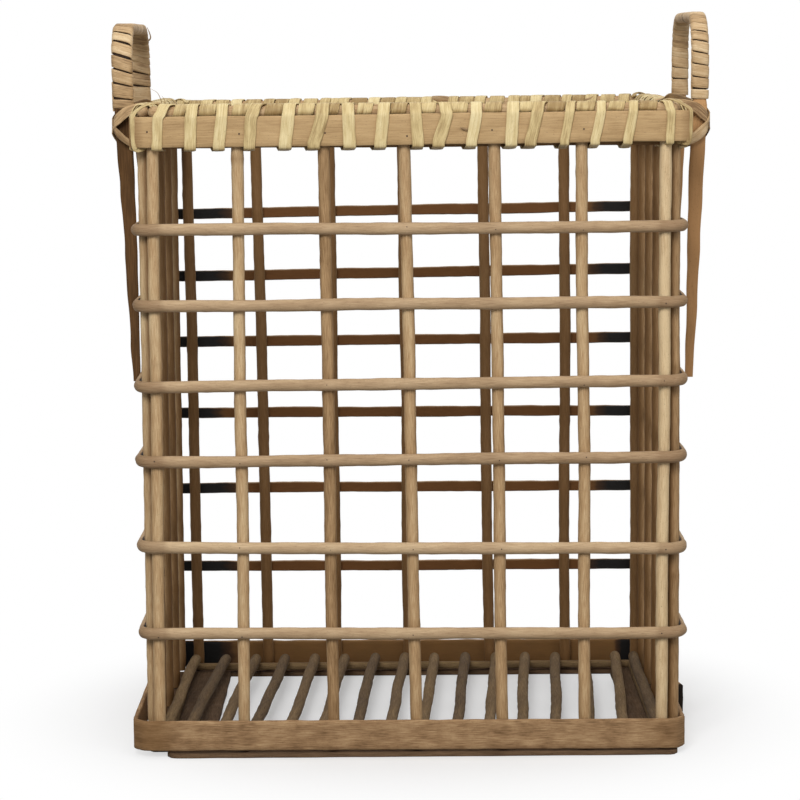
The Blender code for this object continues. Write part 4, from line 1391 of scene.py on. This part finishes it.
@dataclass
class Handle:
    """One bent slat handle with its cane binding.

    Fields:
        wall: Left or right.
        side: Minus one on the left, one on the right.
        top: Height of the top of its binding.
        front_pitches: Spacing of the binding's turns up the front leg, from the rim, in
            millimetres.
        tone: Lightness of the slat.
        slope: How much the turns slope across the front leg.
        profile: Heights with the place of the inner edge and the width there, in millimetres.
        gaps: Gaps above the first turns of the binding, in millimetres.
        bound_from: Height at which the binding starts.
        half_spread: Distance of a leg from the middle of its wall.
        splay: How much further out the middle of the handle stands than its front leg.
        thickness: Thickness of the slat in its upper part.
        bend: Radius in which it bends over.
        tip_level, tip_thickness: Height of the legs' tips, and the thickness there.
        cane: Thickness of the binding.
    """

    wall: str
    side: int
    top: float
    front_pitches: tuple[float, ...]
    tone: float
    slope: float
    profile: tuple[tuple[float, float, float], ...]
    gaps: tuple[float, ...]
    bound_from: float
    half_spread: float = 85.0 * MM
    splay: float = 0.5 * MM
    thickness: float = 5.0 * MM
    bend: float = 30.0 * MM
    tip_level: float = 285.2 * MM
    tip_thickness: float = 2.2 * MM
    cane: float = 1.1 * MM

    def leg(self) -> float:
        """Height at which a leg starts to bend over."""
        return self.top - self.thickness / 2 - 0.3 * MM - self.cane - self.bend

    def total(self) -> float:
        """Length of the middle line from the ground under one leg to the other."""
        return 2 * (self.leg() + math.pi / 2 * self.bend + self.half_spread - self.bend)

    def taper(self, level: float) -> float:
        """Share of the full thickness at a height."""
        return min(max((level - self.tip_level) / (self.leg() - self.tip_level), 0), 1)

    def section(self, level: float) -> tuple[float, float]:
        """Place of the slat's middle, counted from the basket's, and its width at a height."""
        knots = self.profile
        height = min(max(level / MM, knots[0][0]), knots[-1][0])
        for (low, edge, width), (high, next_edge, next_width) in zip(knots, knots[1:]):
            if height <= high:
                share = smooth((height - low) / (high - low))
                wide = width + (next_width - width) * share
                return (edge + (next_edge - edge) * share + wide / 2) * MM, wide * MM
        return (knots[-1][1] + knots[-1][2] / 2) * MM, knots[-1][2] * MM

    def place(self, run: float) -> tuple[Vector, Vector, Vector, float]:
        """Place on the handle's middle line.

        Args:
            run: Distance from the ground under the front leg.

        Returns:
            The point, the normal away from the basket's mouth, the direction of travel, and the
            width of the slat there.
        """
        total, leg = self.total(), self.leg()
        far = run > total / 2
        near = total - run if far else run
        angle = min(max((near - leg) / self.bend, 0), math.pi / 2)
        bar = max(near - leg - math.pi / 2 * self.bend, 0)
        y = self.bend * (1 - math.cos(angle)) - self.half_spread + bar
        z = min(near, leg) + self.bend * math.sin(angle)
        normal = Vector((0, -math.cos(angle), math.sin(angle)))
        travel = Vector((0, math.sin(angle), math.cos(angle)))
        if far:
            y, normal.y, travel.z = -y, -normal.y, -travel.z
        x, width = self.section(z)
        x += self.splay * (1 + y / self.half_spread)
        ahead, behind = self.section(z + MM)[0], self.section(z - MM)[0]
        travel.x = self.side * (ahead - behind) / (2 * MM) * travel.z
        travel.normalize()
        return Vector((self.side * x, y, z)), normal, travel, width

    def build(self) -> None:
        """Build the slat, its binding, and the strips that hold its feet to the rim."""
        self.slat()
        self.binding()
        self.foot_strips()

    def width(self) -> float:
        """Width of the slat at the top."""
        return self.profile[-1][2] * MM

    def slat(self) -> None:
        """Build the bent slat from tip to tip."""
        total = self.total()
        stations = []
        for run in spaced(self.tip_level, total - self.tip_level, 4 * MM):
            centre, normal, travel, width = self.place(run)
            thick = self.tip_thickness / self.thickness
            thick += (1 - thick) * self.taper(centre.z)
            wide = width / self.width() * (0.975 + 0.02 * wander(self.side * 4.0, run, 40 * MM))
            # painted shade: the legs darken below the rim, and the slat goes near-black under the
            # binding, where it shows only through the gaps
            shade = 0.4 * smooth((500 * MM - centre.z) / (40 * MM))
            under_binding_shade = smooth((centre.z - self.bound_from) / (4 * MM))
            stations.append(Station(centre, ALONG_X, normal, run, (wide, thick * 0.97),
                                    shade=max(shade, under_binding_shade), char_and_painted_shade=0.55 * under_binding_shade))
        piece = Workpiece(f"{self.wall}_handle_slat")
        piece.sweep(slat_outline(self.width(), self.thickness, 1.3 * MM, 4, 0.3 * MM), stations,
                    self.tone, rough=0.35 * MM, rough_length=16 * MM)
        piece.done(HANDLE_SLAT, "handle", f"{self.wall}_handle")

    def turn_starts(self) -> list[float]:
        """Runs along the handle at which the turns of the binding start."""
        draw = random.Random(31 + self.side)
        starts = [self.bound_from]
        for pitch in self.front_pitches:
            starts.append(starts[-1] + pitch * MM)
        last = self.total() - self.bound_from
        while starts[-1] < last - 7 * MM:
            over_top = self.leg() < starts[-1] < self.total() - self.leg()
            middle = 7.2 if over_top else 9.2
            starts.append(starts[-1] + draw.uniform(middle - 1.3, middle + 1.6) * MM)
        return [*starts[:-1], last]

    def binding(self) -> None:
        """Wind the cane binding, turn by turn, edge against edge."""
        draw = random.Random(77 + self.side)
        skin = 0.25 * MM + self.cane / 2
        half_x, half_n = self.width() / 2 + skin, self.thickness / 2 + skin
        round_off = 2.8 * MM
        outline = self.loop(half_x, half_n, round_off)
        lengths = runs([Vector((u, v, 0)) for u, v, _, _ in [*outline, outline[0]]])
        starts = self.turn_starts()
        piece = Workpiece(f"{self.wall}_handle_cane")
        for number, (start, after) in enumerate(zip(starts, starts[1:])):
            pitch = after - start
            gap = self.gaps[number] if number < len(self.gaps) else draw.uniform(0.1, 0.5)
            width = pitch - gap * MM
            slope = self.slope * min(1.0, 0.25 + 0.35 * min(number, len(starts) - 2 - number))
            seed = draw.uniform(1, 90)
            tilt = draw.uniform(0.10, 0.24) * MM
            stations, run = [], 0.0
            last = None
            count = len(outline)
            for step in range(count + 1):
                u, v, out_u, out_v = outline[step % count]
                forward = start + width / 2 + slope * (0.5 - lengths[step] / lengths[-1])
                centre, normal, travel, slat_width = self.place(forward)
                u += math.copysign((slat_width - self.width()) / 2, u)
                out = (ALONG_X * out_u + normal * out_v).normalized()
                loose = 0.18 * MM * max(0.0, wander(seed, run, 7 * MM))
                point = centre + ALONG_X * u + normal * v + out * loose
                run += (point - last).length if last is not None else 0.0
                last = point
                across = (travel + out * (tilt / (width / 2))).normalized()
                over = across.cross(out.cross(across)).normalized()
                narrow = 1 + 0.06 * wander(seed + 3, run, 12 * MM)
                inside = max(0.0, -out.y if point.y > 0 else 0.0)
                stations.append(Station(point, across, over, run, (narrow, 1.0),
                                        shade=0.15 * inside))
            piece.sweep(slat_outline(width, self.cane, 0.3 * MM, 5, 0.15 * MM), stations,
                        draw.uniform(-0.28, 0.30), rough=0.14 * MM, rough_length=9 * MM)
        piece.done(HANDLE_CANE, "handle_wrap", f"{self.wall}_handle_wrap")

    def loop(self, half_x: float, half_n: float, radius: float) -> list[tuple]:
        """Rounded oblong as places and outward directions, from the middle of the inner face.

        Args:
            half_x: Half its size across the handle.
            half_n: Half its size through the handle.
            radius: Radius of its corners.

        Returns:
            Places and directions, four numbers each.
        """
        made = []
        corners = ((-1, 1), (1, 1), (1, -1), (-1, -1))
        for number, (a, b) in enumerate(corners):
            after = corners[(number + 1) % 4]
            start_turn = (math.pi, math.pi / 2, 0.0, -math.pi / 2)[number]
            for step in range(5):
                turn = start_turn - math.pi / 2 * step / 4
                out_u, out_v = math.cos(turn), math.sin(turn)
                made.append((a * (half_x - radius) + radius * out_u,
                             b * (half_n - radius) + radius * out_v, out_u, out_v))
            u, v, out_u, out_v = made[-1]
            next_u = after[0] * (half_x - radius) + radius * out_u
            next_v = after[1] * (half_n - radius) + radius * out_v
            for share in (0.33, 0.67):
                made.append((u + (next_u - u) * share, v + (next_v - v) * share, out_u, out_v))
        return made

    def foot_strips(self) -> None:
        """Lay the folded strips that tie each leg to the rim."""
        draw = random.Random(90 + self.side)
        piece = Workpiece(f"{self.wall}_foot_strips")
        for leg in (-1, 1):
            y = leg * self.half_spread
            for upper in (True, False):
                self.foot_strip(piece, y, leg, upper, draw)
        piece.done(HANDLE_CANE, "lacing")

    def foot_strip(self, piece: Workpiece, y: float, leg: int, upper: bool,
                   draw: random.Random) -> None:
        """Lay one strip from the rim over a leg's outer face and round behind it.

        Args:
            piece: Workpiece to add to.
            y: Depth of the leg.
            leg: Minus one at the front leg, one at the back leg.
            upper: Whether it comes from the top of the rim, or from under it.
            draw: Source of small differences.
        """
        s = self.side
        if upper:
            flat = ((191, 15, 492.0), (193, 14, 496.0), (199, 12.6, 498.0), (208, 10.8, 498.4),
                    (217, 9.2, 496.0), (222.5, 8.2, 492.2), (226.8, 6.2, 488.0),
                    (229.3, 2.5, 484.5), (229.6, -2, 480.5), (226.4, -6.2, 475.5),
                    (217, -8.5, 469.5), (204, -9, 465.8), (192, -9, 465.8))
        else:
            flat = ((194, 4, 470.0), (203, 7.0, 469.0), (211, 9.0, 469.4), (217.5, 9.0, 472.2),
                    (223.5, 8.2, 477.0), (227.4, 6.0, 481.6), (229.5, 2.5, 485.5),
                    (229.4, -2, 489.0), (226, -6.2, 493.0), (216, -8.0, 498.0),
                    (205, -9, 502.2), (192, -10, 501.0))
        reach = (self.section(483 * MM)[0] + self.section(483 * MM)[1] / 2) / MM - 227.8
        drop = 3.4 if leg > 0 else 0.0
        points = [Vector((s * (x + reach * smooth((x - 202) / 14)) * MM, y + leg * off * MM,
                          (z - drop * smooth((z - 485) / 12)) * MM)) for x, off, z in flat]
        places = flowing(points, 1.5 * MM)
        seed = draw.uniform(1, 90)
        stations = []
        for place, travel, run in zip(places, tangents(places), runs(places)):
            beyond = smooth((abs(place.x) - (224 + reach) * MM) / (6 * MM))
            inside = smooth((204 * MM - abs(place.x)) / (8 * MM))
            front = leg if (place.y - y) * leg > 0 else -leg
            over = Vector((s * beyond * 1.6, front * (1 - inside) * (1.2 - beyond), 0))
            over += UP * (0.55 + 1.5 * inside) * (1 if place.z > 483 * MM else -1) * (1 - beyond)
            across = travel.cross(over).normalized()
            over = across.cross(travel).normalized()
            girth = 1 + 0.06 * wander(seed, run, 16 * MM)
            stations.append(Station(place, across, over, run, (girth, 1.0)))
        wide = 8.4 * MM if upper or s > 0 else 5.6 * MM
        tone = (-0.42 if s > 0 else -0.08) if upper else (0.12 if s > 0 else -0.30)
        piece.sweep(slat_outline(wide, 0.9 * MM, 0.3 * MM, 5, 0.3 * MM), stations,
                    tone, rough=0.2 * MM, rough_length=12 * MM,
                    inner=lambda u, v: 0.6 if v < 0 else 0.0)


@dataclass
class LooseEnds:
    """Splinters and the ends of strips that stand off the rim and the handles.

    Fields:
        splinters: Points of each, in millimetres, with its width.
    """

    splinters: tuple = (
        ("splinter_left_handle", 1.2, ((-217.0, 80, 549), (-214.5, 79.5, 550.0),
                                       (-212.6, 79, 552.5), (-213.4, 79, 556.5),
                                       (-215.2, 78.5, 561.0))),
        ("splinter_left_rim_low", 0.5, ((-183.4, -142, 501.5), (-184.4, -142.5, 505.4),
                                        (-186.1, -142.5, 508.2))),
        ("splinter_left_rim_high", 0.5, ((-186, -141, 501.5), (-187.6, -142, 507.0),
                                         (-190.0, -142, 511.0), (-194.3, -142, 513.5))),
        ("strip_end_rim", 6.5, ((30, -141, 502.9), (24, -142, 504.1), (17.5, -143, 505.6))),
        ("stub_front_slat", 2.4, ((46, -155.2, 480.6), (43, -157.4, 481.6), (38.5, -158.8, 483.2))),
        ("splinter_rim_middle", 1.6, ((133, -143, 502.8), (137, -143, 504.0), (139, -143, 505.4))),
    )

    def build(self) -> None:
        """Build all loose ends as one piece."""
        piece = Workpiece("loose_ends")
        for name, width, flat in self.splinters:
            places = flowing([Vector(point) * MM for point in flat], 0.8 * MM)
            total = runs(places)[-1]
            stations = []
            for place, travel, run in zip(places, tangents(places), runs(places)):
                across = travel.cross(ALONG_Y).normalized()
                girth = 1 - 0.7 * (run / total) ** 2
                stations.append(Station(place, across, -ALONG_Y, run, (girth, girth), shade=0.4))
            piece.sweep(slat_outline(width * MM, min(width * 0.6, 0.8) * MM, 0.1 * MM, 2),
                        stations, -0.1)
            log.info("loose end: %s", name)
        piece.done(HANDLE_CANE, "lacing")


@dataclass
class Studio:
    """Camera, lamps, floor and background.

    Fields:
        eye: Place of the camera.
        pitch, roll: How far it looks down and leans over, in degrees.
        lens: Focal length, in millimetres.
    """

    eye: tuple[float, float, float] = (-8.3 * MM, -2342.3 * MM, 545.0 * MM)
    pitch: float = 6.98
    roll: float = -0.45
    lens: float = 130.5

    def build(self) -> None:
        """Set up everything round the basket."""
        self.camera()
        self.floor()
        self.lamps()
        self.world()
        bpy.context.scene.view_settings.view_transform = "Standard"

    def camera(self) -> None:
        """Place the camera as the photograph was taken."""
        camera = add_object("camera", bpy.data.cameras.new("camera"))
        camera.data.lens = self.lens
        camera.data.sensor_width = 36.0
        camera.data.clip_end = 50.0
        tilt = Matrix.Rotation(math.radians(90 - self.pitch), 4, "X")
        lean = Matrix.Rotation(math.radians(self.roll), 4, "Z")
        camera.matrix_world = Matrix.Translation(self.eye) @ tilt @ lean
        bpy.context.scene.camera = camera

    def floor(self) -> None:
        """Lay a plain pale floor that keeps the shadow and looks white."""
        work = bmesh.new()
        bmesh.ops.create_grid(work, x_segments=1, y_segments=1, size=6.0)
        mesh = bpy.data.meshes.new("studio_floor")
        work.to_mesh(mesh)
        work.free()
        mesh.materials.append(named_material("studio_paper", self._paper))
        add_object("studio_floor", mesh)

    def _paper(self, tree: bpy.types.NodeTree) -> bpy.types.NodeSocket:
        """Lay the nodes of the paper: matt near the basket, plain white further off."""
        path = add_node(tree, "ShaderNodeLightPath")
        paper = add_node(tree, "ShaderNodeMix", {
            0: path.outputs["Is Diffuse Ray"], 6: linear_colour("F6F6F6"),
            7: linear_colour("8C8C8C")}, data_type="RGBA")
        diffuse = add_node(tree, "ShaderNodeBsdfDiffuse", {"Color": paper.outputs[2]})
        glow = add_node(tree, "ShaderNodeEmission", {"Color": (1, 1, 1, 1), "Strength": 1.0})
        place = add_node(tree, "ShaderNodeTexCoord").outputs["Object"]
        away = add_node(tree, "ShaderNodeVectorMath", {0: place}, operation="LENGTH")
        plain = add_node(tree, "ShaderNodeMapRange", {
            "Value": away.outputs["Value"], "From Min": 0.14, "From Max": 0.36,
            "To Min": 0.30, "To Max": 1.0}, interpolation_type="SMOOTHSTEP")
        share = add_node(tree, "ShaderNodeMath", {
            0: path.outputs["Is Camera Ray"], 1: plain.outputs[0]}, operation="MULTIPLY")
        return add_node(tree, "ShaderNodeMixShader", {
            0: share.outputs[0], 1: diffuse.outputs[0], 2: glow.outputs[0]}).outputs[0]

    def lamps(self) -> None:
        """Hang three soft lamps: a large one in front and above, and two fills."""
        for name, place, size, power in (
                ("key_lamp", (-0.5, -2.5, 1.9), 1.1, 55.0),
                ("fill_lamp", (1.6, -1.9, 1.0), 1.2, 11.0),
                ("top_lamp", (0.1, 0.2, 2.4), 1.6, 14.0)):
            light = bpy.data.lights.new(name, "AREA")
            light.energy = power
            light.size = size
            lamp = add_object(name, light)
            lamp.location = place
            aim = Vector((0, 0, 0.25)) - Vector(place)
            lamp.rotation_euler = aim.to_track_quat("-Z", "Y").to_euler()

    def world(self) -> None:
        """Make the background white to the camera and softer to the basket."""
        world = bpy.data.worlds.new("studio")
        bpy.context.scene.world = world
        world.use_nodes = True
        tree = world.node_tree
        tree.nodes.clear()
        path = add_node(tree, "ShaderNodeLightPath")
        seen = add_node(tree, "ShaderNodeMath", {
            0: path.outputs["Is Camera Ray"], 1: path.outputs["Is Glossy Ray"]},
            operation="MAXIMUM")
        clear = add_node(tree, "ShaderNodeMath", {
            0: seen.outputs[0], 1: path.outputs["Is Transmission Ray"]}, operation="MAXIMUM")
        soft = add_node(tree, "ShaderNodeBackground", {
            "Color": linear_colour("FFFFFF"), "Strength": 0.33})
        white = add_node(tree, "ShaderNodeBackground", {
            "Color": linear_colour("FFFFFF"), "Strength": 1.0})
        mixed = add_node(tree, "ShaderNodeMixShader", {
            0: clear.outputs[0], 1: soft.outputs[0], 2: white.outputs[0]})
        add_node(tree, "ShaderNodeOutputWorld", {"Surface": mixed.outputs[0]})


def main() -> None:
    """Build the studio and the basket, piece by piece."""
    logging.basicConfig(level=logging.INFO, format="%(message)s")
    plan = Plan()
    Studio().build()
    Stakes().build()
    Hoops(plan).build()
    Foot(plan).build()
    Rim(plan).build()
    Handle(wall="left", side=-1, top=563.2 * MM, tone=-0.38, slope=11.0 * MM,
           bound_from=497.0 * MM,
           front_pitches=(7.0, 10.2, 10.2, 10.6, 10.5, 9.2, 9.2),
           gaps=(0.2, 0.2, 1.0, 1.2, 1.3, 1.2, 1.0),
           profile=((285, 211.4, 5.5), (314, 211.4, 7.2), (388, 211.9, 9.9), (438, 212.8, 11.7),
                    (465, 213.4, 13.2), (501, 214.1, 13.6), (563, 214.7, 13.4))).build()
    Handle(wall="right", side=1, top=569.0 * MM, tone=0.60, slope=6.0 * MM,
           bound_from=501.4 * MM,
           front_pitches=(8.0, 8.0, 9.7, 8.8, 8.1, 7.9, 7.3),
           gaps=(0.5, 0.2, 0.6, 0.3, 0.35, 0.3, 0.3),
           profile=((285, 215.0, 6.2), (349, 216.0, 8.6), (388, 216.4, 10.0), (438, 217.2, 11.4),
                    (465, 218.2, 11.9), (496, 220.0, 11.4), (504, 220.7, 10.0),
                    (530, 220.9, 9.8), (546, 220.7, 10.2), (569, 220.5, 10.4))).build()
    LooseEnds().build()


if __name__ == "__main__":
    main()
